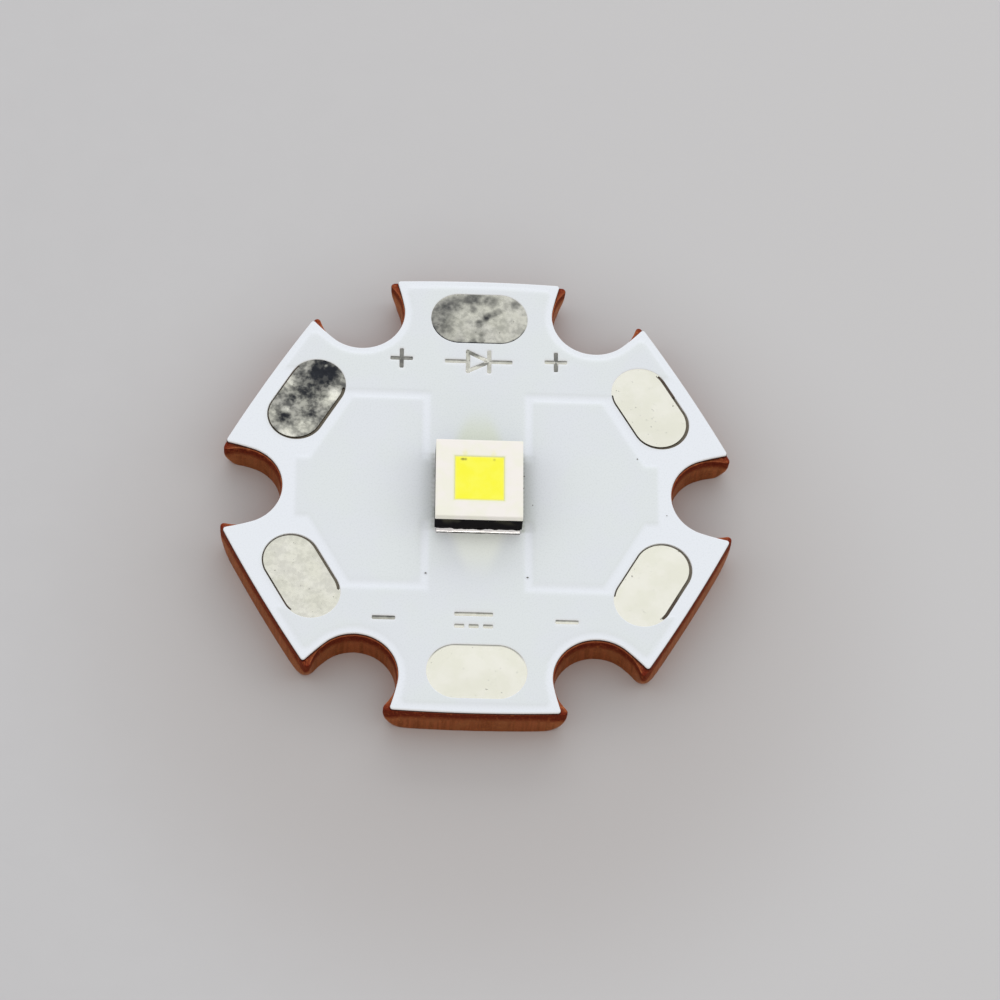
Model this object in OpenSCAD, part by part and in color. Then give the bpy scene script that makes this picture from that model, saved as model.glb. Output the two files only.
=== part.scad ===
// Star-shaped metal-core circuit board with one power LED soldered at its centre.
// Millimetres. +Z is up, away from the heat sink. The origin is the centre of the board's underside.
// The lugs point along 30, 90, 150 degrees and so on; the screw notches lie between them.

/* [Board outline] */
// Distance between opposite straight edges of the star
across_flats = 19.55; // [18.5:0.05:23]
// Diameter of the circle through the centres of the screw notches
notch_circle = 18.9; // [18.4:0.1:22]
// Radius of the round bottom of a screw notch
notch_radius = 1.66; // [1.4:0.02:2]
// Angle by which each straight side of a notch opens outwards
notch_flare = 19; // [12:1:28]
// How far the punch spreads the copper of a lug tip sideways
tip_spread = 0.18; // [0.08:0.01:0.25]
// Length over which the side of a notch bends out towards a spread tip
spread_length = 0.8; // [0.5:0.05:1]
// How far the punch leaves a lug tip short of a sharp corner
tip_blunt = 0.03; // [0.02:0.01:0.1]
// How far the underside of a lug tip is drawn in by the punch
tip_draw_depth = 0.27; // [0.15:0.01:0.5]
// Height of the drawn-in part of a lug tip
tip_draw_height = 1.1; // [0.4:0.05:1.2]

/* [Board layers] */
// Thickness of the copper core
core_thick = 1.4; // [1.2:0.05:3]
// Thickness of the insulating layer
dielectric_thick = 0.08; // [0.05:0.01:0.15]
// Thickness of the copper circuit foil
foil_thick = 0.07; // [0.05:0.005:0.1]
// Thickness of the white mask over the foil
mask_thick = 0.05; // [0.04:0.005:0.08]
// How far the mask sinks between the copper areas
mask_sink = 0.04; // [0.02:0.005:0.05]
// How far the mask stays full height past the edge of the foil
mask_shoulder = 0.06; // [0.04:0.01:0.1]
// How far the mask and the insulation stay back from the edge of the core
layer_setback = 0.04; // [0.02:0.01:0.1]
// How far the mask and the insulation end short of a sharp lug tip
layer_tip_setback = 0.12; // [0.1:0.01:0.4]

/* [Solder pads] */
// Length of a solder pad, along the edge of its lug
pad_length = 3.9; // [3:0.1:4.4]
// Width of a solder pad
pad_width = 2.3; // [1.6:0.1:2.5]
// Distance from the lug's edge to the pad
pad_edge = 0.66; // [0.58:0.02:0.9]
// Thickness of the tin at the long edges of a pad
tin_thick = 0.035; // [0.02:0.005:0.05]
// Extra height of the tin along the middle of a pad
tin_crown = 0.03; // [0.01:0.005:0.05]

/* [Circuit] */
// Distance from the foil to the edge of the board
edge_clearance = 0.45; // [0.3:0.01:0.46]
// Gap between neighbouring copper areas
isolation = 0.5; // [0.35:0.01:0.7]
// Gap around a pad's foil inside its opening, where no foil runs on under the mask
pad_gap = 0.09; // [0.05:0.01:0.12]
// How far the foil runs on under the mask around the LED's openings
foil_margin = 0.12; // [0.1:0.01:0.14]
// Height of the two heat islands beside the LED
island_height = 8.1; // [6.5:0.1:8.6]
// Width of the rim left between a heat island and the screw notch beside it
island_rim = 0.7; // [0.5:0.05:2]
// Height of the outer edge of a heat island
island_end = 2.4; // [1:0.1:3]
// How far the foil tongues stand out at the sides of the LED terminals
tongue_margin = 0.15; // [0.1:0.01:0.3]

/* [LED package] */
// Side of the square LED package
led_size = 3.45; // [3.3:0.05:4.2]
// How far the LED was soldered to the right of the board's middle
led_right = 0.04; // [-0.06:0.01:0.06]
// How far the LED was soldered above the board's middle, seen from the top
led_up = -0.07; // [-0.08:0.01:0.08]
// Thickness of the solder under the LED terminals
solder_thick = 0.13; // [0.1:0.01:0.2]
// How far the solder fillet stands out in front of a terminal
solder_fillet = 0.32; // [0.15:0.01:0.4]
// Thickness of the terminals under the ceramic
terminal_thick = 0.045; // [0.035:0.005:0.08]
// Width of the two electrical terminals
terminal_width = 0.5; // [0.4:0.01:0.6]
// Gap between the terminals
terminal_gap = 0.5; // [0.35:0.01:0.6]
// Distance from the terminals to the edge of the ceramic
terminal_inset = 0.075; // [0.04:0.005:0.12]
// Thickness of the ceramic
ceramic_thick = 0.745; // [0.4:0.005:1]
// Diameter of the filled holes through the ceramic
via_diameter = 0.2; // [0.12:0.01:0.25]
// Distance between neighbouring filled holes
via_pitch = 1.2; // [0.6:0.05:1.3]

/* [LED chip] */
// Side of the square LED chip
die_size = 1.9; // [1.4:0.05:2.1]
// Thickness of the LED chip
die_thick = 0.09; // [0.06:0.005:0.1]
// Thickness of the solder under the LED chip
attach_thick = 0.035; // [0.025:0.005:0.05]
// Thickness of the metal tracks on top of the ceramic
track_thick = 0.035; // [0.025:0.005:0.05]
// How far the metal under the chip shows around it
track_margin = 0.075; // [0.04:0.005:0.09]
// Gap between the metal tracks
track_gap = 0.125; // [0.08:0.005:0.15]
// How far the yellow plate overhangs the chip
phosphor_overhang = 0.025; // [0:0.005:0.05]
// Thickness of the white frame around the chip
frame_thick = 0.28; // [0.265:0.005:0.4]
// Distance of the left and right bond wires from the middle of the chip
bond_wire_x = 0.6; // [0.3:0.05:0.65]
// Diameter of a bond wire
wire_diameter = 0.05; // [0.04:0.005:0.06]
// Height of a bond wire's arc above the straight line between its ends
wire_rise = 0.09; // [0.06:0.005:0.1]
// Side of the square surge diode
surge_size = 0.26; // [0.2:0.01:0.28]
// Thickness of the surge diode
surge_thick = 0.1; // [0.06:0.005:0.12]

/* [Hidden] */
$fn = 64;

copper = "#8a4b2a";
tin = "#dcdccf";
gold = "#c9a24a";
lug_step = 60;
far = across_flats;
cut_past = 1;
side_overlap = 0.002;
spread_overlap = 0.004;
crown_sides = 1440;

// Heights of the layers, from the underside upwards
z_insulation = core_thick;
z_foil = z_insulation + dielectric_thick;
z_foil_top = z_foil + foil_thick;
z_mask = z_foil_top + mask_thick;
z_terminal = z_foil_top + solder_thick;
z_ceramic = z_terminal + terminal_thick;
z_track = z_ceramic + ceramic_thick;
z_attach = z_track + track_thick;
z_die = z_attach + attach_thick;
z_phosphor = z_die + die_thick;
z_led_top = z_track + frame_thick;

// A sharp lug tip is where the side of a notch meets the straight edge of its lug
tangent_u = notch_circle / 2 - notch_radius * sin(notch_flare);
tangent_v = notch_radius * cos(notch_flare);
tip_u = (across_flats / 2 - (tangent_v - tangent_u * tan(notch_flare)) * sin(lug_step / 2))
    / (cos(lug_step / 2) + tan(notch_flare) * sin(lug_step / 2));
tip_v = tangent_v + (tip_u - tangent_u) * tan(notch_flare);
layer_tip = norm([tip_u, tip_v]) - layer_tip_setback;

// The punch spreads the copper tip along the lug's edge, and the notch's side bends out to it in one arc
edge_along = [sin(lug_step / 2), -cos(lug_step / 2)];
edge_out = [cos(lug_step / 2), sin(lug_step / 2)];
side_along = [cos(notch_flare), sin(notch_flare)];
side_out = [sin(notch_flare), -cos(notch_flare)];
spread_tip = [tip_u, tip_v] + tip_spread * edge_along;
spread_start = [tip_u, tip_v] - spread_length * side_along;
spread_way = spread_tip - spread_start;
spread_bend = spread_way * spread_way / (2 * spread_way * side_out);
spread_centre = spread_start + (spread_bend - spread_overlap) * side_out;
core_tip = norm(spread_tip) - tip_blunt;

// Pads, tongues and islands follow the outline and the LED
pad_radius = across_flats / 2 - pad_edge - pad_width / 2;
terminal_length = led_size - 2 * terminal_inset;
thermal_width = terminal_length - 2 * (terminal_width + terminal_gap);
terminal_y = (terminal_length - terminal_width) / 2;
terminal_inner = terminal_y - terminal_width / 2;
terminal_outer = terminal_length / 2;
tongue_width = terminal_length + 2 * tongue_margin;
tongue_end = terminal_inner - foil_margin;
neck_width = thermal_width + 2 * foil_margin;
island_inner = tongue_width / 2 + isolation;
island_outer = notch_circle / 2 - notch_radius - island_rim;
island_side = pad_radius - pad_width / 2 - isolation;
foil_line = island_height / 2 + isolation;

// Tracks on the ceramic
phosphor_size = die_size + 2 * phosphor_overhang;
die_track = die_size + 2 * track_margin;
track_outer = terminal_length / 2 - terminal_inset / 2;
anode_track_inner = die_track / 2 + track_gap;
arm_inner = die_track / 2 + track_gap;
surge_x = -(arm_inner + track_outer) / 2;
bond_y = die_size / 2 - wire_diameter * 2;
landing_y = (anode_track_inner + track_outer) / 2;
arm_end = anode_track_inner - track_gap;

// Moves what belongs to the LED to where it was soldered
module on_led() {
    translate([led_right, led_up]) children();
}

// The same shape on the right and on the left of the middle
module either_side() {
    for (side = [0, 1]) mirror([side, 0]) children();
}

// Outline of one screw notch around +X: a round bottom with straight, opening sides,
// which start just inside the round so that the two meet at a clean corner
module notch(grow) {
    r = notch_radius + grow;
    u = notch_circle / 2 - (r - side_overlap) * sin(notch_flare);
    v = (r - side_overlap) * cos(notch_flare);
    v_far = v + (far - u) * tan(notch_flare);
    translate([notch_circle / 2, 0]) circle(r);
    polygon([[u, v], [far, v_far], [far, -v_far], [u, -v]]);
}

// The star with sharp tips, drawn in by the given distance
module star(inset) {
    difference() {
        circle((across_flats / 2 - inset) / cos(lug_step / 2), $fn = 6);
        for (turn = [0 : lug_step : 300]) rotate(turn) notch(inset);
    }
}

// What the punch spreads from one tip into the notch around +X
module spread() {
    difference() {
        polygon([
            spread_start - tip_spread * side_out,
            spread_start + tip_spread / 2 * side_out,
            spread_tip + tip_spread * (edge_along + edge_out),
            [tip_u, tip_v] + tip_spread * (edge_out - edge_along)
        ]);
        translate(spread_centre) circle(spread_bend);
    }
}

// The copper star: the two tips beside each notch are spread into it
module copper_star() {
    difference() {
        circle(across_flats / 2 / cos(lug_step / 2), $fn = 6);
        for (turn = [0 : lug_step : 300]) rotate(turn) difference() {
            notch(0);
            for (side = [0, 1]) mirror([0, side]) spread();
        }
    }
}

// The star of the printed layers, with short tips
module layer_outline() {
    intersection() {
        star(layer_setback);
        circle(layer_tip);
    }
}

// Solder pad on the lug at the given angle
module pad_shape(angle, grow = 0) {
    round_r = pad_width / 2 + grow;
    straight = pad_length - pad_width;
    rotate(angle - 90) translate([0, pad_radius]) {
        square([straight, 2 * round_r], center = true);
        for (end = [-1, 1]) translate([end * straight / 2, 0]) circle(round_r);
    }
}

// Circuit foil of the upper half: three lugs and a tongue to the LED
module foil_shape(grow = 0) {
    intersection() {
        star(edge_clearance - grow);
        translate([-far, foil_line - grow]) square([2 * far, far]);
    }
    for (angle = [30, 90, 150]) pad_shape(angle, grow - pad_gap);
    half = tongue_width / 2 + grow;
    translate([-half, tongue_end - grow]) square([2 * half, foil_line - tongue_end + 2 * grow]);
}

// Heat islands beside the LED, joined by a neck under it
module island_shape(grow = 0) {
    reach = island_outer + grow;
    either_side() {
        difference() {
            translate([island_inner - grow, -island_height / 2 - grow])
                square([reach - island_inner + grow, island_height + 2 * grow]);
            for (angle = [-30, 30])
                rotate(angle) translate([island_side + grow, -far]) square([far, 2 * far]);
        }
        translate([island_inner - grow, -island_end / 2 - grow])
            square([reach - island_inner + grow, island_end + 2 * grow]);
    }
    square([2 * island_inner, neck_width + 2 * grow], center = true);
}

// Openings in the mask under one electrical terminal and under the heat terminal
module terminal_window() {
    translate([-terminal_length / 2, terminal_inner])
        square([terminal_length, terminal_width + solder_fillet]);
}

module thermal_window() {
    square([terminal_length, thermal_width], center = true);
}

// Outer limit of the punched core: upright above, drawn in towards the underside
module punch_limit() {
    bow = (tip_draw_height * tip_draw_height + tip_draw_depth * tip_draw_depth) / (2 * tip_draw_depth);
    rotate_extrude() intersection() {
        square([core_tip - side_overlap, core_thick]);
        union() {
            square([core_tip - bow, core_thick]);
            translate([0, tip_draw_height]) square([far, core_thick]);
            translate([core_tip - bow, tip_draw_height]) circle(bow);
        }
    }
}

module copper_core() color(copper) {
    intersection() {
        linear_extrude(core_thick) copper_star();
        punch_limit();
    }
    translate([0, 0, core_thick]) linear_extrude(dielectric_thick + foil_thick) island_shape();
}

module dielectric() color("#b9b39a") {
    translate([0, 0, z_insulation]) linear_extrude(dielectric_thick) difference() {
        layer_outline();
        island_shape();
    }
}

module positive_foil() color(copper) {
    translate([0, 0, z_foil]) linear_extrude(foil_thick) foil_shape();
}

module negative_foil() color(copper) {
    mirror([0, 1, 0]) positive_foil();
}

// The mask lies over the copper areas, sinks between them and leaves the openings free
module solder_mask() color("#dde1e5") {
    difference() {
        translate([0, 0, z_foil]) {
            linear_extrude(foil_thick + mask_thick - mask_sink) layer_outline();
            linear_extrude(foil_thick + mask_thick) {
                foil_shape(mask_shoulder);
                mirror([0, 1]) foil_shape(mask_shoulder);
                island_shape(mask_shoulder);
            }
        }
        translate([0, 0, z_foil]) linear_extrude(foil_thick) {
            foil_shape();
            mirror([0, 1]) foil_shape();
            island_shape();
        }
        translate([0, 0, z_foil]) linear_extrude(cut_past) {
            for (angle = [30 : lug_step : 330]) pad_shape(angle);
            on_led() {
                terminal_window();
                mirror([0, 1]) terminal_window();
                thermal_window();
            }
        }
    }
}

// Tin on the foil that shows in one pad's opening, crowned across its width
module tin_pad(angle) {
    crown_r = (pad_width * pad_width / 4 + tin_crown * tin_crown) / (2 * tin_crown);
    lower = angle > 180 ? 1 : 0;
    color(tin) intersection() {
        translate([0, 0, z_foil_top]) linear_extrude(tin_thick + 2 * tin_crown) intersection() {
            pad_shape(angle);
            mirror([0, lower]) foil_shape();
        }
        rotate(angle - 90) translate([0, pad_radius, z_foil_top + tin_thick + tin_crown - crown_r])
            rotate([0, 90, 0]) cylinder(h = 2 * pad_length, r = crown_r, center = true, $fn = crown_sides);
    }
}

module tin_pad_top() { tin_pad(90); }
module tin_pad_upper_left() { tin_pad(150); }
module tin_pad_lower_left() { tin_pad(210); }
module tin_pad_bottom() { tin_pad(270); }
module tin_pad_lower_right() { tin_pad(330); }
module tin_pad_upper_right() { tin_pad(30); }

// Section of the solder at an electrical terminal, with a hollow fillet on its outer side
module solder_section() {
    foot = [terminal_outer + solder_fillet, mask_thick];
    head = [terminal_outer, solder_thick + terminal_thick];
    chord = head - foot;
    length = norm(chord);
    across = [-chord[1], chord[0]] / length;
    hollow = (foot + head) / 2 - across * length * sqrt(3) / 2;
    difference() {
        polygon([
            [terminal_inner, 0], [foot[0], 0], foot, head,
            [terminal_outer, solder_thick], [terminal_inner, solder_thick]
        ]);
        translate(hollow) circle(length);
    }
}

module anode_solder() color(tin) {
    translate([-terminal_length / 2, 0, z_foil_top])
        rotate([90, 0, 90]) linear_extrude(terminal_length) solder_section();
}

module cathode_solder() color(tin) {
    mirror([0, 1, 0]) anode_solder();
}

module thermal_solder() color(tin) {
    translate([0, 0, z_foil_top]) linear_extrude(solder_thick) thermal_window();
}

module thermal_terminal() color(gold) {
    translate([0, 0, z_terminal]) linear_extrude(terminal_thick) thermal_window();
}

module terminal_bar() {
    translate([-terminal_length / 2, terminal_inner, z_terminal])
        cube([terminal_length, terminal_width, terminal_thick]);
}

// Filled holes that carry the current through the ceramic
module vias() {
    for (step = [-1, 0, 1])
        translate([step * via_pitch, terminal_y, z_ceramic])
            cylinder(h = ceramic_thick, d = via_diameter);
}

module anode_lead() color(gold) {
    terminal_bar();
    vias();
    translate([surge_x - surge_size / 2 - track_margin, anode_track_inner, z_track])
        cube([track_outer - surge_x + surge_size / 2 + track_margin, track_outer - anode_track_inner, track_thick]);
}

// The lower track carries the chip, and an arm of it reaches up to the surge diode's wire
module cathode_lead() color(gold) {
    mirror([0, 1, 0]) {
        terminal_bar();
        vias();
    }
    translate([0, 0, z_track]) linear_extrude(track_thick) {
        square(die_track, center = true);
        translate([-track_outer, -track_outer]) square([2 * track_outer, track_outer - die_track / 2]);
        translate([-track_outer, -track_outer]) square([track_outer - arm_inner, track_outer + arm_end]);
    }
}

module led_ceramic() color("#26262a") {
    difference() {
        translate([0, 0, z_ceramic + ceramic_thick / 2])
            cube([led_size, led_size, ceramic_thick], center = true);
        vias();
        mirror([0, 1, 0]) vias();
    }
}

module die_attach() color(tin) {
    translate([0, 0, z_attach]) linear_extrude(attach_thick) square(die_size, center = true);
}

module led_die() color("#5b6670") {
    translate([0, 0, z_die]) linear_extrude(die_thick) square(die_size, center = true);
}

// The yellow plate is cast over the chip and over the near ends of the bond wires
module phosphor_plate() color("#f4ee4e") {
    difference() {
        translate([0, 0, z_phosphor]) linear_extrude(z_led_top - z_phosphor)
            square(phosphor_size, center = true);
        bond_wire_left();
        bond_wire_right();
    }
}

// A wire bent in one arc from a high pad to a low one, with a flattened foot at each end
module wire(x, high, low) {
    chord = low - high;
    length = norm(chord);
    across = [-chord[1], chord[0]] / length;
    bend = (length * length / 4 + wire_rise * wire_rise) / (2 * wire_rise);
    centre = (high + low) / 2 - across * (bend - wire_rise);
    start = atan2(low[1] - centre[1], low[0] - centre[0]);
    sweep = 2 * asin(length / 2 / bend);
    translate([x, 0, 0]) {
        translate([0, centre[0], centre[1]]) rotate([90, 0, 90]) rotate(start)
            rotate_extrude(angle = sweep) translate([bend, 0]) circle(d = wire_diameter);
        for (end = [high, low])
            translate([0, end[0], end[1] - wire_diameter / 2])
                cylinder(h = wire_diameter * 1.4, d = wire_diameter * 1.8);
    }
}

module bond_wire(x) {
    color(gold) wire(x,
        [bond_y, z_phosphor + wire_diameter / 2],
        [landing_y, z_attach + wire_diameter / 2]);
}

module bond_wire_left() { bond_wire(-bond_wire_x); }
module bond_wire_right() { bond_wire(bond_wire_x); }

module surge_diode() color("#3c4046") {
    translate([surge_x, landing_y, z_attach + surge_thick / 2])
        cube([surge_size, surge_size, surge_thick], center = true);
}

module surge_wire() color(gold) {
    mirror([0, 1, 0]) wire(surge_x,
        [-landing_y, z_attach + surge_thick + wire_diameter / 2],
        [-arm_end + landing_y - anode_track_inner, z_attach + wire_diameter / 2]);
}

// White moulding that fills the top of the package around everything on the ceramic
module white_frame() color("#efece4") {
    difference() {
        translate([0, 0, z_track + frame_thick / 2])
            cube([led_size, led_size, frame_thick], center = true);
        anode_lead();
        cathode_lead();
        die_attach();
        led_die();
        phosphor_plate();
        bond_wire_left();
        bond_wire_right();
        surge_diode();
        surge_wire();
    }
}

copper_core();
dielectric();
positive_foil();
negative_foil();
solder_mask();
tin_pad_top();
tin_pad_upper_left();
tin_pad_lower_left();
tin_pad_bottom();
tin_pad_lower_right();
tin_pad_upper_right();
on_led() anode_solder();
on_led() cathode_solder();
on_led() thermal_solder();
on_led() thermal_terminal();
on_led() anode_lead();
on_led() cathode_lead();
on_led() led_ceramic();
on_led() die_attach();
on_led() led_die();
on_led() phosphor_plate();
on_led() bond_wire_left();
on_led() bond_wire_right();
on_led() surge_diode();
on_led() surge_wire();
on_led() white_frame();
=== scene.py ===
# %% [markdown]
# # A star board with a power LED
# The object is a coin-sized circuit board: a punched copper star under a thin white mask, six tinned
# pads on its lugs and one flat LED in the middle. This lesson dresses its fixed CAD frame. Pieces whose
# form is right in CAD keep it and get a finish. Pieces whose charm lies in soft edges, such as punched
# copper, mask that sags between tracks and crumpled tin, are modelled again in the same place.

# %% Load the frame
import cmath
import math

import bmesh
import bpy
import numpy as np
from mathutils import Matrix, Vector, geometry


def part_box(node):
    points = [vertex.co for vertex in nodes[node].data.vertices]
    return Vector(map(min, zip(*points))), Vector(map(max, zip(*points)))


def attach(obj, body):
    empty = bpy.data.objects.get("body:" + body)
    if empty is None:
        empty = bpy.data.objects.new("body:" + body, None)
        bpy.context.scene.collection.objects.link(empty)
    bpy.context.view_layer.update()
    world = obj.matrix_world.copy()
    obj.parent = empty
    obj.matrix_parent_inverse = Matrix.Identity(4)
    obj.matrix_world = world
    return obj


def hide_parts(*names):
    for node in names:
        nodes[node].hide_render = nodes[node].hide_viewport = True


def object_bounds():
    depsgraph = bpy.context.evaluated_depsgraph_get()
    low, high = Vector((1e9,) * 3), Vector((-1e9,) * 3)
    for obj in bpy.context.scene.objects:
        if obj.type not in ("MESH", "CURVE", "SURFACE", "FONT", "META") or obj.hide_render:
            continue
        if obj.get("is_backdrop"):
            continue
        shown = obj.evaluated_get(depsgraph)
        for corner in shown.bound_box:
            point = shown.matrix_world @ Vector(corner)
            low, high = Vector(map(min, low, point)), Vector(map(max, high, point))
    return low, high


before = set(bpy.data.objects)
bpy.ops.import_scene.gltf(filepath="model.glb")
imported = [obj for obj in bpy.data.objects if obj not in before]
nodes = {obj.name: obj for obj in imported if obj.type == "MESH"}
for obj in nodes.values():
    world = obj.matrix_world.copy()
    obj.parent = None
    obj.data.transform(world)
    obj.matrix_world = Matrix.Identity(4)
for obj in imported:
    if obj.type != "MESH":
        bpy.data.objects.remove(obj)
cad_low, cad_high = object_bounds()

mm = 0.001
print("CAD box in mm:", [round(side / mm, 2) for side in cad_high - cad_low], "from", len(nodes), "nodes")

# %% [markdown]
# Sizes that the frame shows are read from it, so the pieces follow when the part changes. The rest of
# the star's rule, how wide its screw notches are and how far they open, is stated once here.

# %% Sizes of the board
core_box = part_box("copper_core")
foil_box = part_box("positive_foil")
pad_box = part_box("tin_pad_top")
across_flats = core_box[1].y - core_box[0].y
core_low = core_box[0].z
core_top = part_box("dielectric")[0].z
insulation_top = foil_box[0].z
foil_top = foil_box[1].z
mask_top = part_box("solder_mask")[1].z
notch_centre = 9.45 * mm
notch_radius = 1.66 * mm
notch_flare = math.radians(19)
tip_spread = 0.37 * mm
spread_length = 1.1 * mm
edge_bow = 0.085 * mm
bow_start = 8.3 * mm
bow_full = 9.5 * mm
lug_half = 3.4 * mm
lug_count = 6
lug_turn = math.radians(60)
pad_length = 3.9 * mm
pad_width = pad_box[1].y - pad_box[0].y
pad_radius = (pad_box[1].y + pad_box[0].y) / 2
foil_line = 4.55 * mm
tongue_start = foil_box[0].y
print("board", round(across_flats / mm, 2), "mm across flats, mask at", round(mask_top / mm, 3), "mm")

# %% [markdown]
# One half of a lug holds the whole rule of the star: a round notch bottom, a side that opens outwards
# and bends out into a spread tip, its ear, then a rounded corner and half of a slightly bowed edge.
# Complex numbers make turning and mirroring a single multiplication. The number of points never changes,
# so outlines at several heights can be joined point by point.

# %% Outline of the star
edge_way = cmath.exp(0.5j * lug_turn)
side_way = cmath.exp(1j * notch_flare)
corner_places = np.linspace(1.5, 4.2, 1400) * mm
bottom_run, side_run, corner_run, edge_run = 2.1 * mm, 1.4 * mm, 0.5 * mm, 3.3 * mm


def smooth(low, high, value):
    """A soft step from 0 at low to 1 at high."""
    t = np.clip((value - low) / (high - low), 0, 1)
    return t * t * (3 - 2 * t)


def edge_fall(axial, tangential):
    """How far the bowed edge of a lug lies below a straight one."""
    return edge_bow * (tangential / lug_half) ** 2 * smooth(bow_start, bow_full, axial)


def side_start(inset, widen):
    """Where the round bottom of the notch on the real axis passes into its straight side."""
    return notch_centre + (notch_radius + inset + widen) * 1j * side_way


def tip_of(inset, widen=0.0):
    """Sharp corner between the side of the notch on the real axis and the edge of the next lug."""
    start = side_start(inset, widen)
    gap = across_flats / 2 - inset - (start * edge_way.conjugate()).real
    return start + side_way * gap / (side_way * edge_way.conjugate()).real


def side_curve(inset, ear, widen=0.0):
    """Close points along the side of a notch, up to the lug's edge."""
    start = side_start(inset, widen)
    length = abs(tip_of(inset, widen) - start)
    along = np.linspace(0, 1.2 * length, 300)
    bend = np.maximum(along - length + spread_length, 0) / spread_length
    curve = start + side_way * along - 1j * side_way * ear * bend ** 2
    return curve[(curve * edge_way.conjugate()).real < across_flats / 2 - inset]


def corner_round(curve, inset, radius):
    """Centre of the circle that touches the side and the edge, and where it touches the side."""
    centres = (across_flats / 2 - inset - radius - 1j * corner_places) * edge_way
    gaps = abs(curve[None, :] - centres[:, None]).min(axis=1)
    centre = centres[np.argmax(gaps <= radius)]
    return centre, np.argmin(abs(curve - centre))


def half_lug(inset, ear, radius, spacing, widen=0.0):
    """From a notch's bottom to the middle of the lug's edge, with the lug pointing along +Y."""
    def steps(length):
        return max(4, round(length / spacing))

    turn = np.linspace(math.pi, math.pi / 2 + notch_flare, steps(bottom_run))
    bottom = notch_centre + (notch_radius + inset + widen) * np.exp(1j * turn)
    curve = side_curve(inset, ear, widen)
    centre, touch = corner_round(curve, inset, radius)
    side = np.interp(np.linspace(0, touch, steps(side_run)), np.arange(len(curve)), curve)
    turn = np.linspace(cmath.phase(side[-1] - centre), lug_turn / 2, steps(corner_run))
    corner = centre + radius * np.exp(1j * turn)
    edge = np.linspace(corner[-1], (across_flats / 2 - inset) * edge_way, steps(edge_run))
    lug = np.concatenate([bottom, side[1:], corner[1:], edge[1:]]) * cmath.exp(1j * lug_turn)
    return lug - 1j * edge_fall(lug.imag, lug.real)


def whole_lug(inset, ear, radius, spacing, widen=0.0):
    half = half_lug(inset, ear, radius, spacing, widen)
    return np.concatenate([half, -half[-2::-1].conjugate()])


def star_loop(inset, radius, spacing, widen=0.0, ear=0.0):
    lug = whole_lug(inset, ear, radius, spacing, widen)[:-1]
    return np.concatenate([lug * cmath.exp(1j * lug_turn * turn) for turn in range(lug_count)])


print("star outline of", len(star_loop(0, 0.1 * mm, 0.1 * mm)), "points")

# %% [markdown]
# Soft edges need to know how deep a point lies inside a shape. Each function below answers that for
# many points at once: positive inside, negative outside, and zero on the outline. The star comes first,
# then a bar with rounded ends, and the pads, which are such bars laid across the lugs.

# %% Depth inside the star and the pads
pad_angles = [math.radians(turn) for turn in (30, 90, 150, 210, 270, 330)]
pad_names = ["upper_right", "top", "upper_left", "lower_left", "bottom", "lower_right"]


def star_depth(p, inset, tip_round, widen=0.0, ear=0.0):
    curve = side_curve(inset, ear, widen)
    centre, touch = corner_round(curve, inset, tip_round)
    first_way = cmath.phase(curve[touch] - centre)
    length = abs(tip_of(inset, widen) - curve[0])
    depth = np.full(p.shape, np.inf)
    for turn in range(lug_count):
        q = p * cmath.exp(-1j * lug_turn * turn)
        q = q.real + 1j * abs(q.imag)
        on_lug = q * edge_way.conjugate()
        q = q + edge_way * edge_fall(on_lug.real, on_lug.imag)
        on_side = (q - notch_centre) * side_way.conjugate()
        bend = np.maximum(on_side.real - length + spread_length, 0) / spread_length
        side = on_side.imag + ear * bend ** 2
        notch = np.where(on_side.real > 0, side, abs(q - notch_centre)) - notch_radius - inset - widen
        edge = across_flats / 2 - inset - (q * edge_way.conjugate()).real
        way = np.angle(q - centre)
        in_tip = (way > first_way) & (way < lug_turn / 2)
        corner = np.where(in_tip, tip_round - abs(q - centre), np.inf)
        depth = np.minimum(depth, np.minimum(np.minimum(notch, edge), corner))
    return depth


def bar_depth(p, middle, length, width, turn=0.0, round_end=0.0):
    q = (p - middle) * cmath.exp(-1j * turn)
    over_x = abs(q.real) - length / 2 + round_end
    over_y = abs(q.imag) - width / 2 + round_end
    outside = np.hypot(np.maximum(over_x, 0), np.maximum(over_y, 0))
    return round_end - outside - np.minimum(np.maximum(over_x, over_y), 0)


def pad_depth(p, angle, grow=0.0):
    middle = cmath.rect(pad_radius, angle)
    width = pad_width + 2 * grow
    return bar_depth(p, middle, pad_length + 2 * grow, width, angle - math.pi / 2, width / 2)


def obround_loop(angle, grow, spacing):
    """Outline of a pad, grown on all sides."""
    straight = (pad_length - pad_width) / 2
    radius = pad_width / 2 + grow
    turn = np.linspace(-math.pi / 2, math.pi / 2, round(math.pi * radius / spacing))
    right = straight + radius * np.exp(1j * turn)
    run = np.linspace(straight + 1j * radius, -straight + 1j * radius, round(2 * straight / spacing))
    half = np.concatenate([right, run[1:-1]])
    whole = np.concatenate([half, -half]) * cmath.exp(1j * (angle - math.pi / 2))
    return whole + cmath.rect(pad_radius, angle)


print(len(pad_names), "pads of", round(pad_length / mm, 2), "by", round(pad_width / mm, 2), "mm")

# %% [markdown]
# Under the mask lie two foils, one above and one below the LED, and two heat islands beside it. Their
# edges print through the mask as faint steps, so these two rules also shape the mask.

# %% Depth inside the foils and the heat islands
edge_clearance = 0.45 * mm
foil_tip = 0.1 * mm
pad_gap = 0.09 * mm
shoulder_rise = 0.95 * mm
tongue_half = 1.8 * mm
tongue_overlap = 0.2 * mm
island_inner = 2.3 * mm
island_outer = 7.09 * mm
island_half = 4.05 * mm
island_end = 1.2 * mm
island_gap = 0.5 * mm
island_side = pad_radius - pad_width / 2 - island_gap
neck_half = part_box("thermal_solder")[1].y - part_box("thermal_solder")[0].y
neck_overlap = 0.1 * mm


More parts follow.
